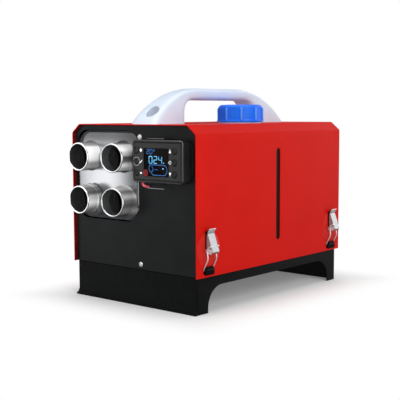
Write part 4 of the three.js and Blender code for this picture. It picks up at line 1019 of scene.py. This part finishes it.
def handle_plug():
    """Dished plug in the handle's dimple."""
    edge, rim = 0.9, 1.3
    dish = [(0, -plug_depth), (plug_radius, -plug_depth), (plug_radius, -edge), (plug_radius - rim, -edge),
            (7, -1.7), (0, -2.2)]
    dress(turned("handle_plug", dish, *plug_place()), "fuel_tank", plug_grey, stands_for=False)


def tank_body():
    """The tank's own shape below the hood, with the neck: its legs and grip are cut off."""
    half, leg_near, leg_far, leg_low, top, grip_run, grip_low = 40, 70, 175, 254, 330, 72, 288
    tank = copied("fuel_tank_body", "fuel_tank")
    tools = [block("leg", (-half, half), sorted((case_middle + way * leg_near, case_middle + way * leg_far)),
                   (leg_low, top)) for way in ends.values()]
    cut(tank, *tools, block("grip", (-half, half), (case_middle - grip_run, case_middle + grip_run),
                            (grip_low, top)))
    dress(tank, "fuel_tank")


def ribbed_cap():
    """Turned cap whose radius also swells at nine ribs, each a bump that falls as the exponential of a sixth
    power of the way from its middle."""
    ribs, half, proud, first = 9, 1.6, 2.4, 31
    flange, body, bore, ceiling = 36.3, 33.6, 27, 287
    round_in, round_start, round_rise = 5, 5.3, 4.6
    low, high = span("fuel_cap")
    centre = (low + high) / 2
    shoulder = [(body - round_in * (1 - np.cos(a)), high[2] - round_start + round_rise * np.sin(a))
                for a in np.linspace(0, 1.4, 8)]
    rows = [(0, ceiling, 0), (bore, ceiling, 0), (bore, low[2], 0), (flange - 0.4, low[2], 0),
            (flange, low[2] + 0.4, 0), (flange, low[2] + 1.4, 0), (flange - 0.5, low[2] + 1.9, 0),
            (body + 0.4, low[2] + 2.2, 0.6), (body, low[2] + 3, 1)]
    rows += [(body, z, 1) for z in np.linspace(low[2] + 5, high[2] - 7, 8)] + [(body, high[2] - 6, 0.85)]
    rows += [(r, z, max(0.0, 0.5 - 0.5 * i)) for i, (r, z) in enumerate(shoulder)]
    rows += [(28.6, high[2] - 0.45, 0), (20, high[2] - 0.15, 0), (0, high[2] - 0.05, 0)]
    radius, along, share = np.array(rows, float).T
    angle = np.linspace(0, 2 * np.pi, ribs * 48, endpoint=False)
    off = (angle - np.radians(first) + np.pi / ribs) % (2 * np.pi / ribs) - np.pi / ribs
    bump = proud * np.exp(-(off * body / half) ** 6)
    spread = radius[:, None] + share[:, None] * bump
    points = np.stack([centre[0] + spread * np.cos(angle), centre[1] + spread * np.sin(angle),
                       np.repeat(along[:, None], len(angle), 1)], -1)
    cap = shell("ribbed_cap", points.reshape(-1, 3), quads(len(rows), len(angle), False, True), 50)
    dress(cap, "fuel_cap")

    def on_rib(c):
        """Faces half way up a rib or more, above the flange, which take the painted highlight."""
        away = np.hypot(c[:, 0] - centre[0], c[:, 1] - centre[1])
        return (away > body + proud / 2) & (c[:, 2] > low[2] + 2.6)

    # painted highlight: the ribs are coloured paler blue
    paint(cap, rib_painted_highlight, on_rib)


# Controller
housing_low, housing_high = span("controller_housing")
screen_low, screen_high = span("controller_screen")
control_face = housing_low[1]
glass_face = control_face + 0.4
print_y, ink_y = glass_face - 0.12, control_face + 0.22
key_nodes = [f"key_{side}_{row}" for side in ("left", "right") for row in ("high", "middle", "low")]
key_places = [(x, z) for x, _, z in map(middle_of, key_nodes)]


def controller_case():
    """Moulded case: its outline shrinks in rings over a rounded edge, a rim, a groove and the face."""
    corner, edge, wall, groove, room_corner, glass_gap, key_hole = 6, 1.7, 2.2, 0.9, 3.8, 0.3, 4.5
    x0, x1, z0, z1 = housing_low[0], housing_high[0], housing_low[2], housing_high[2]
    rolled = [(edge * (1 - np.cos(a)), control_face + edge * (1 - np.sin(a)))
              for a in np.linspace(0, np.pi / 2, 6)]
    rings = [(0, housing_high[1]), *rolled, (2.6, control_face), (3.3, control_face + groove),
             (3.9, control_face + groove), (4.5, control_face + 0.3)]
    rows = []
    for inward, y in rings:
        line = rounded_rect(x0 + inward, x1 - inward, z0 + inward, z1 - inward, max(corner - inward, 1.6), 8)
        rows.append(np.column_stack([line[:, 0], np.full(len(line), y), line[:, 1]]))
    case = lofted("controller_case", rows)
    room = rounded_rect(x0 + wall, x1 - wall, z0 + wall, z1 - wall, room_corner, 8)
    glass = rounded_rect(screen_low[0] - glass_gap, screen_high[0] + glass_gap, screen_low[2] - glass_gap,
                         screen_high[2] + glass_gap, 1.2, 5)
    front = control_face - 3, control_face + 4  # reach of the tools for the glass and the keys
    cut(case, solid("room", room, control_face + wall, housing_high[1] + through),
        solid("glass_hole", glass, *front),
        *[solid("key_hole", circle(x, z, key_hole, 40), *front) for x, z in key_places])
    dress(eased(case, 0.25, 2), "controller_housing")

    def on_edge(c):
        """Faces of the rounded edge, which take a painted highlight."""
        inward = np.min([c[:, 0] - x0, x1 - c[:, 0], c[:, 2] - z0, z1 - c[:, 2]], axis=0)
        return (inward < edge) & (inward > 0.05) & (c[:, 1] < control_face + edge - 0.05)

    # painted highlight: the rounded edge is coloured paler than the case
    paint(case, edge_painted_highlight, on_edge)


def keys():
    """Round key with a shallow dish in its face, over a flange that keeps it in the case."""
    radius, flange, flange_thick = 4.2, 5.3, 0.9
    for node, (x, z) in zip(key_nodes, key_places):
        low, high = span(node)
        front, back = low[1], high[1]
        profile = [(0, front + 0.9), (1.8, front + 0.7), (3, front + 0.3), (3.6, front), (4, front + 0.3),
                   (radius, front + 0.9), (radius, back - flange_thick), (flange, back - flange_thick),
                   (flange, back), (0, back)]
        dress(turned(f"{node}_cap", profile, (x, 0, z), (0, 1, 0), 56), node, key_black)
        collar = [(4.55, control_face + 1), (4.55, control_face - 0.1), (4.9, control_face - 0.25),
                  (flange, control_face), (flange, control_face + 1)]
        ring = turned(f"{node}_collar", collar, (x, 0, z), (0, 1, 0), 56, closed=True)
        dress(ring, "controller_housing", key_black, stands_for=False)


def stroke(name, path, width, y, closed=False):
    """Flat line of one width: a thin rectangle carried along a path across the face."""
    path = np.asarray(path, float)
    line = np.column_stack([path[:, 0], np.full(len(path), y), path[:, 1]])
    half, thin = width / 2, 0.09
    return carried(name, line, np.array([(-thin, -half), (thin, -half), (thin, half), (-thin, half)]), closed)


def merged(name, pieces):
    """Puts several meshes in one object."""
    work = bmesh.new()
    for piece in pieces:
        work.from_mesh(piece.data)
        bpy.data.objects.remove(piece)
    mesh = bpy.data.meshes.new(name)
    work.to_mesh(mesh)
    work.free()
    whole = bpy.data.objects.new(name, mesh)
    scene.collection.objects.link(whole)
    return whole


def shown(name, pieces, finish, node="controller_screen"):
    """One object of printed or lit lines on the controller."""
    dress(merged(name, pieces), node, finish, stands_for=False)


bars_of = {"0": "abcdef", "2": "abged", "4": "fgbc"}


def figures(text, x, z, width, height, thick, gap):
    """Seven-bar figures: each bar is a short flat line between two corners of the figure, less a break."""
    w, h, trim = width, height, thick * 0.35
    bars = {"a": ((0, h), (w, h)), "b": ((w, h), (w, h / 2)), "c": ((w, h / 2), (w, 0)),
            "d": ((w, 0), (0, 0)), "e": ((0, 0), (0, h / 2)), "f": ((0, h / 2), (0, h)),
            "g": ((0, h / 2), (w, h / 2))}
    rows = []
    for place, figure in enumerate(text):
        for bar in bars_of[figure]:
            start, end = np.array(bars[bar], float) + (x + place * (width + gap), z)
            short = (end - start) / np.linalg.norm(end - start) * trim
            rows.append(stroke("bar", [start + short, end - short], thick, print_y))
    return rows


def display():
    """Segments of the liquid crystal: two rows of figures and the outline of a heater."""
    left, top = screen_low[0], screen_high[2]
    small = figures("20", left + 5.6, top - 7.6, width=4.4, height=6.2, thick=0.9, gap=1.9)
    degree = rounded_rect(left + 18.4, left + 20.6, top - 4.2, top - 1.4, 0.6, 3)
    shown("small_figures", [*small, stroke("degree", degree, 0.7, print_y, True)], dim_blue)
    large = figures("024", left + 10.4, top - 20.6, width=5.8, height=9.6, thick=0.85, gap=3.4)
    point = [(left + 37.6, top - 20.4), (left + 38.4, top - 19.4)]
    shown("large_figures", [*large, stroke("point", point, 1.2, print_y)], blue_crystal)
    x0, x1, z0, z1 = left + 9.6, left + 44.4, top - 37, top - 22.8
    outline = [(x0 + 8, z0), (x1, z0), (x1, z1), (x0 + 2, z1), (x0, z1 - 6)]
    outline = filleted(outline, [4, 6.8, 6.8, 2.5, 2.5], 6, True)
    wave = arc((x0 + 5, z0 + 8), 3.6, -100, 80, 14)
    line = [(x0 + 11.5, z0 + 7.6), (x0 + 17, z0 + 7.6)]
    shown("heat_icon", [stroke("outline", outline, 1, print_y, True), stroke("wave", wave, 0.9, print_y),
                        stroke("line", line, 0.9, print_y)], dim_blue)
    spark = [(x1 - 8.6, z0 + 9.4), (x1 - 6.6, z0 + 9.2)]
    shown("icon_spark", [stroke("spark", spark, 1.4, print_y)], blue_crystal)


def indicator():
    """Dark red disc with a red ring round it and a narrow red loop on it."""
    disc, rim, loop, loop_share = 3.6, 4.4, 1.5, 0.7
    x, z = screen_low[0] + 3.6, screen_low[2] + 4.4
    face = [(0, print_y - 0.12), (disc - 0.3, print_y - 0.12), (disc, print_y + 0.1), (disc, print_y + 0.2),
            (0, print_y + 0.2)]
    edge = [(disc, print_y - 0.05), (rim, print_y - 0.05), (rim, print_y + 0.2), (disc, print_y + 0.2)]
    ring = turned("indicator_edge", edge, (x, 0, z), (0, 1, 0), 56, closed=True)
    dress(ring, "controller_screen", red_lamp, stands_for=False)
    lens = turned("indicator", face, (x, 0, z), (0, 1, 0), 56)
    dress(lens, "controller_screen", dark_red, stands_for=False)
    narrow = circle(x, z, loop, 32) * (loop_share, 1) + (x * (1 - loop_share), 0)
    shown("indicator_mark", [stroke("indicator_mark", narrow, 0.7, print_y - 0.2, True)], red_lamp)


def flat(points):
    """Filled mark on the case's face."""
    return solid("mark", np.array(points, float), ink_y - 0.09, ink_y + 0.09)


def printed_marks():
    """White print: two arrows with a diamond between them on the right, a drop, a stroke and a dash on the
    left, and a grey ring round the middle left key."""
    high, middle, low = (z for _, z in key_places[:3])
    right, left = key_places[3][0] - 7.6, key_places[0][0] + 8.6
    marks = [flat([(right - 2.2, high - 2.6), (right + 2.2, high - 2.6), (right, high + 2.9)]),
             flat([(right - 2.3, low + 2.6), (right, low - 2.6), (right + 2.3, low + 2.6)]),
             stroke("diamond", [(right - 2.9, middle), (right, middle - 2.3), (right + 2.9, middle),
                                (right, middle + 2.3)], 1, ink_y, True),
             flat([(left - 2.4, high + 0.4), (left - 0.8, high - 2.2), (left + 1, high - 2.2),
                   (left + 2.4, high + 0.6), (left + 0.3, high + 3)]),
             stroke("slash", [(left - 2.2, middle - 2), (left + 0.2, middle - 0.4), (left + 2.2, middle + 2)],
                    1.5, ink_y),
             flat([(left - 1.8, low - 1), (left + 1.8, low - 1), (left + 1.6, low + 1.1),
                   (left - 1.6, low + 1.1)])]
    shown("printed_marks", marks, white_ink_painted_glow, "controller_housing")
    halo = stroke("halo", circle(*key_places[1], 5.9, 56), 0.9, ink_y, True)
    shown("key_halo", [halo], grey_ink_painted_glow, "controller_housing")


def smoothed(points, steps):
    """Curve through its points: each span is a cubic whose slope at a point is half the step between the
    point's neighbours."""
    p = np.asarray(points, float)
    p = np.vstack([2 * p[0] - p[1], p, 2 * p[-1] - p[-2]])
    t = np.linspace(0, 1, steps, endpoint=False)[None, :, None]
    a, b, c, d = (p[i:len(p) - 3 + i, None] for i in range(4))
    curve = b + t * (c - a) / 2 + t ** 2 * (a - 2.5 * b + 2 * c - d / 2)
    curve += t ** 3 * (1.5 * (b - c) + (d - a) / 2)
    return np.vstack([curve.reshape(-1, 3), p[-2]])


def controller_lead():
    """Short lead from the foot of the controller into the panel."""
    rise_x, front, lead_radius = 27, lead_low[1] + 2.6, 1.8
    route = [(lead_x, lead_high[1], lead_hole_z), (lead_x, front_face + 1, lead_hole_z),
             (lead_x - 0.3, front_face - 2.6, lead_hole_z + 0.2), (lead_x - 2.2, front, lead_hole_z + 2.4),
             (rise_x - 0.4, front, lead_hole_z + 5), (rise_x, front + 0.8, lead_high[2])]
    lead = carried("controller_lead_sheath", smoothed(route, 10), circle(0, 0, lead_radius, 24), smooth=60)
    dress(lead, "controller_lead")


def controller_holder():
    """The holder's own plate, and the hems of its two clips, over and under the case, mid grey as a painted
    highlight.
    """
    left, right, thick = 42, 73, 1
    dress(eased(copied("controller_holder_plate", "controller_holder"), 0.5, 3), "controller_holder")
    front = span("controller_holder")[0][1]
    for name, low in (("upper", 243.2), ("lower", 173.6)):
        hem = block(f"holder_hem_{name}", (left, right), (front + 0.2, front + 1.4), (low, low + thick))
        # painted highlight: the hems are coloured mid grey
        dress(eased(hem, 0.25, 2), "controller_holder", hem_painted_highlight, stands_for=False)


# Latches: out from the hood's face, along it and up from the pivot
pivot_z, pivot_out, crank_reach, crank_tilt = 89, 8.5, 8, np.radians(20)
crank = (pivot_out + crank_reach * np.sin(crank_tilt), crank_reach * np.cos(crank_tilt))


def on_hood(piece, side, end):
    """Moves a latch piece, drawn out along X from a face at zero, to its place. On the left it is also
    turned half round."""
    flat_points = np.empty(3 * len(piece.data.vertices))
    piece.data.vertices.foreach_get("co", flat_points)
    points = flat_points.reshape(-1, 3)
    points[:, :2] *= sides[side]
    points += np.array([sides[side] * case_high[0], latch_y[end], pivot_z]) * mm
    piece.data.vertices.foreach_set("co", points.ravel())
    piece.data.update()
    return piece


def latch_plate():
    """Backing plate between hood and lever."""
    half, low, high, back, front = 7.7, -4, 28, 0.3, 1.5
    return solid("plate", rounded_rect(-half, half, low, high, 1.5, 5), back, front, "X")


def latch_lever():
    """Bent skin between two cheeks: a strip with round bends and a turned-up lip, and cheeks with round ends
    about the pivot."""
    half, cheek, skin_thick, knuckle, wire_hole, pin_hole = 7, 1.2, 1.1, 4.2, 1.1, 1.75
    line = filleted([(14.0, -0.4), (4.6, 24), (5.2, 27.6), (8, 31)], [0, 3, 2, 0], 6)
    skin = solid("lever", np.vstack([line, beside(line, skin_thick)[::-1]]), -half, half)
    roll = arc((pivot_out, 0), knuckle, 180, 320, 20)
    side = np.vstack([roll, [(13.4, -1), (4.2, 23.4), (2.3, 23), (2.3, 3)]])
    cheeks = [solid("cheek", side, *reach) for reach in ((-half, -half + cheek), (half - cheek, half))]
    for plate in cheeks:
        cut(plate, solid("hole", circle(*crank, wire_hole, 20), -half - 2, half + 2),
            solid("pin_hole", circle(pivot_out, 0, pin_hole, 24), -half - 2, half + 2))
    return eased(united(skin, *cheeks), 0.25, 2)


def latch_bail():
    """Bent wire: in at the crank, down each side over a knee, and across behind the lip of the hook."""
    wire, end, near, knee, wide = 0.9, 5.5, 9.2, 9.5, 9.8
    right = [(crank[0], end, crank[1]), (crank[0], near, crank[1]), (6.6, near, 4.8), (5.4, near, -0.5),
             (7, knee, -11), (-1.5, wide, -27)]
    path = np.array([*((out, -along, up) for out, along, up in right), *right[::-1]])
    bends = [0, 1.4, 1.6, 5, 9, 1.8]
    return carried("bail", filleted(path, [*bends, *bends[::-1]], 8), circle(0, 0, wire, 16), smooth=60)


def hook_lip():
    """Face of the hook, turned down over the wire: a rectangle with a notch at both top corners for it."""
    half, low, high, notch, notch_low, back, front, root = 9.6, 55.4, 66.8, 7.6, 64.4, 1.6, 2.8, 1.2
    line = np.array([(-half, low), (half, low), (half, notch_low), (notch, notch_low), (notch, high),
                     (-notch, high), (-notch, notch_low), (-half, notch_low)]) - (0, pivot_z)
    face = solid("lip", line, back, front, "X")
    bridge = block("root", (-1.5, front), (-notch, notch), (high - root - pivot_z, high - pivot_z))
    return eased(united(face, bridge), 0.15, 2)


def latch_ears():
    """Two ears with round heads, and the pin through them."""
    radius, root, low, thick, pin, pin_head, pin_end = 3.4, 1.2, 2.6, 0.9, 1.5, 1.7, 8.9
    ears = []
    for near in (-8.2, 7.3):
        head = arc((pivot_out, 0), radius, -90, 90, 16)
        ears.append(solid("ear", np.vstack([[(root, -low)], head, [(root, low)]]), near, near + thick))
    half = [(0, -pin_end), (pin_head, -8.7), (pin_head, -8.2), (pin, -8.2)]
    line = [*half, *((r, -y) for r, y in half[::-1])]
    return eased(merged("ears", [*ears, turned("pin", line, (pivot_out, 0, 0), (0, 1, 0), 32)]), 0.15, 2)


def latches():
    """Four sets of the same pieces; each set's levers, wires and plates go to their own bodies."""
    lip_highlight_from = pivot_z + 26
    for end, side in latch_corners:
        corner = f"{end}_{side}"
        plate, lever = latch_plate(), latch_lever()
        for piece, name, kind, finish in ((plate, "plate", "plate", None), (lever, "lever", "lever", None),
                                          (latch_ears(), "ears", "plate", pale_zinc_and_highlight),
                                          (latch_bail(), "bail", "bail", pale_zinc_and_highlight)):
            piece.name = f"{name}_{corner}"
            dress(on_hood(piece, side, end), f"latch_{kind}_{corner}", finish)
        # painted highlight: the lip at the top of each lever takes the paler zinc
        paint(lever, pale_zinc_and_highlight, lambda c: c[:, 2] > lip_highlight_from)
        dress(eased(copied(f"hook_{corner}", f"latch_hook_{corner}"), 0.3, 2), f"latch_hook_{corner}")
        lip = hook_lip()
        lip.name = f"hook_lip_{corner}"
        dress(on_hood(lip, side, end), f"latch_hook_{corner}", mouth_black, stands_for=False)


# Pieces at the back and below
def inlet_guard():
    """Two hoops, a hub and eight spokes: hoops and hub are turned, with rounded sections."""
    edge, spoke_half, spoke_start, spoke_end, hub_radius, spokes_count = 0.6, 1.2, 7, 42, 9, 8
    low, high = span("inlet_guard")
    centre, y0, y1 = ((low[0] + high[0]) / 2, 0, (low[2] + high[2]) / 2), low[1], high[1]

    def hoop(name, inner, outer):
        """Ring whose front edges are bevelled."""
        line = [(inner, y0), (outer, y0), (outer, y1 - edge), (outer - edge, y1), (inner + edge, y1),
                (inner, y1 - edge)]
        return turned(name, line, centre, (0, 1, 0), 96, closed=True)

    guard = hoop("guard", 39.5, 46)
    hub = [(0, y0), (hub_radius, y0), (hub_radius, y1 - 0.8), (hub_radius - 0.8, y1), (0, y1)]
    spokes = []
    for turn in np.arange(spokes_count) * 2 * np.pi / spokes_count:
        way = np.array([np.cos(turn), np.sin(turn)])
        aside, at = np.array([-way[1], way[0]]) * spoke_half, np.array([centre[0], centre[2]])
        start, end = way * spoke_start, way * spoke_end
        line = np.array([start - aside, end - aside, end + aside, start + aside]) + at
        spokes.append(solid("spoke", line, y0 + 0.2, y1 - 0.2))
    united(guard, hoop("middle_hoop", 22, 26), turned("hub", hub, centre, (0, 1, 0)), *spokes)
    guard.name = "inlet_guard_grille"
    dress(eased(guard, 0.25, 2), "inlet_guard")


def air_stubs():
    """Open tube with a rolled groove for its clamp near the end."""
    wall, edge, groove = 1.2, 0.3, 0.8
    groove_steps = [(0, 3.4), (groove, 4.4), (groove, 8), (0, 9)]
    for node in ("exhaust_stub", "intake_stub"):
        low, high = span(node)
        x, y, _ = middle_of(node)
        outer = (high[0] - low[0]) / 2
        profile = [(outer - wall, low[2]), (outer - edge, low[2]), (outer, low[2] + edge),
                   *((outer - down, low[2] + up) for down, up in groove_steps), (outer, high[2]),
                   (outer - wall, high[2])]
        dress(turned(f"{node}_pipe", profile, (x, y, 0), (0, 0, 1), 64, closed=True), node)


red_hood()
latch_pads()
base_tray()
front_panel()
rear_panel()
screws()
outlet_casting()
carry_handle()
handle_plug()
tank_body()
ribbed_cap()
controller_case()
keys()
display()
indicator()
printed_marks()
controller_lead()
controller_holder()
latches()
inlet_guard()
air_stubs()
dress(eased(copied("power_socket_body", "power_socket"), 0.5, 3), "power_socket")


# Stage
def floor():
    """Pale sweep that keeps the shadow and turns to plain white a hand's width away from the footprint.
    Footprint, fade and blend are in metres. Right under the object a share of the white is kept."""
    half, drop, fade, blend, kept = 12000, -0.05, 0.1, 0.04, 0.16
    footprint = {"X": (0.0, 0.122), "Y": (0.013, 0.18)}
    corners = [(-half, -half, drop), (half, -half, drop), (half, half, drop), (-half, half, drop)]
    ground = shell("floor", corners, [(0, 1, 2, 3)])
    material = bpy.data.materials.new("pale_sweep")
    material.use_nodes = True
    tree = material.node_tree
    tree.nodes.clear()
    matt = add(tree, "BsdfDiffuse", Color=srgb("#fcfcfc"))
    white = add(tree, "Emission", Color=(1, 1, 1, 1), Strength=1.0)
    place = part_of_place(tree)
    away = []
    for axis, (centre, reach) in footprint.items():
        off = computed(tree, "SUBTRACT", place[axis], centre)
        away.append(computed(tree, "SUBTRACT", computed(tree, "ABSOLUTE", off), reach))
    share = stepped(tree, computed(tree, "SMOOTH_MAX", *away, blend), 0.0, fade, kept, 1.0)
    seen = computed(tree, "MULTIPLY", share, add(tree, "LightPath").outputs["Is Camera Ray"])
    both = add(tree, "MixShader", _0=seen, _1=matt.outputs["BSDF"], _2=white.outputs["Emission"])
    add(tree, "OutputMaterial", Surface=both.outputs["Shader"])
    ground.data.materials.append(material)
    ground.visible_glossy = False


# Soft screens of the room: direction, angle where each starts, angle where it is full, strength
screens = [((0, -0.1, 1), 55, 15, 2.4), ((-0.727, -0.683, -0.075), 16, 2, 1.7), ((0.3, 0.8, 0.4), 34, 8, 1.3),
           ((0.6, 0.8, 0.04), 16, 2, 2.2), ((0.73, -0.62, 0), 24, 8, 1.5)]


def world():
    """White where the camera looks and an even light for matt surfaces. Polished ones see a dark ground, a
    grey wall, and soft screens, each a smooth step of the angle to its middle."""
    wall_start, wall_end, ground_grey, wall_grey, matt_light = -0.55, -0.05, 0.1, 0.28, 0.36
    light = bpy.data.worlds.new("studio")
    light.use_nodes = True
    tree = light.node_tree
    tree.nodes.clear()
    path = add(tree, "LightPath")
    way = add(tree, "TexCoord").outputs["Generated"]
    height = add(tree, "SeparateXYZ", Vector=way).outputs["Z"]
    wall = stepped(tree, height, wall_start, wall_end, ground_grey, wall_grey)
    for middle, wide, narrow, strength in screens:
        middle = np.array(middle) / np.linalg.norm(middle)
        near = add(tree, "VectorMath", {"operation": "DOT_PRODUCT"}, _0=way, _1=tuple(middle.tolist()))
        start, end = np.cos(np.radians([wide, narrow]))
        screen = stepped(tree, near.outputs["Value"], start, end, 0.0, strength)
        wall = computed(tree, "ADD", wall, screen)
    even, mirrored, white = (
        add(tree, "Background", Color=(1, 1, 1, 1), Strength=strength).outputs["Background"]
        for strength in (matt_light, wall, 1.0))
    first = add(tree, "MixShader", _0=path.outputs["Is Glossy Ray"], _1=even, _2=mirrored)
    second = add(tree, "MixShader", _0=path.outputs["Is Camera Ray"], _1=first.outputs["Shader"], _2=white)
    add(tree, "OutputWorld", Surface=second.outputs["Shader"])
    scene.world = light


def place_lamp(data, place, aim, mirrored=False):
    """Puts a lamp at a place in millimetres, facing a point, and hides it from polished surfaces or not."""
    light = bpy.data.objects.new(data.name, data)
    light.visible_glossy = mirrored
    back = np.array(place, float) - np.array(aim, float)
    back /= np.linalg.norm(back)
    right = np.cross([0.0, 0.0, 1.0], back)
    right /= np.linalg.norm(right)
    turn = np.column_stack([right, np.cross(back, right), back, np.array(place) * mm])
    light.matrix_world = Matrix([*turn.tolist(), [0, 0, 0, 1]])
    scene.collection.objects.link(light)


def softbox(name, size, power):
    """Square softbox of a size in millimetres."""
    data = bpy.data.lights.new(name, "AREA")
    data.shape, data.size, data.size_y, data.energy = "RECTANGLE", size * mm, size * mm, power
    return data


def narrow_lamp(name, cone, power):
    """Spot with a soft-edged cone of an angle in degrees."""
    radius = 60
    data = bpy.data.lights.new(name, "SPOT")
    data.energy, data.spot_size, data.spot_blend = power, np.radians(cone), 0.7
    data.shadow_soft_size = radius * mm
    return data


middle = np.array([0, 13, 130])
floor()
world()
place_lamp(softbox("key", 1300, 19), (1900, -600, 1050), middle, mirrored=True)
place_lamp(narrow_lamp("outlet_spot", 8, 105), (1350, -1300, 420), (-62, -180, 186))
place_lamp(softbox("front_fill", 1400, 13), (-500, -2000, 900), middle)
place_lamp(softbox("overhead", 1600, 18), (0, 300, 2200), middle + [0, 10, 0])
scene.view_settings.view_transform = "Standard"
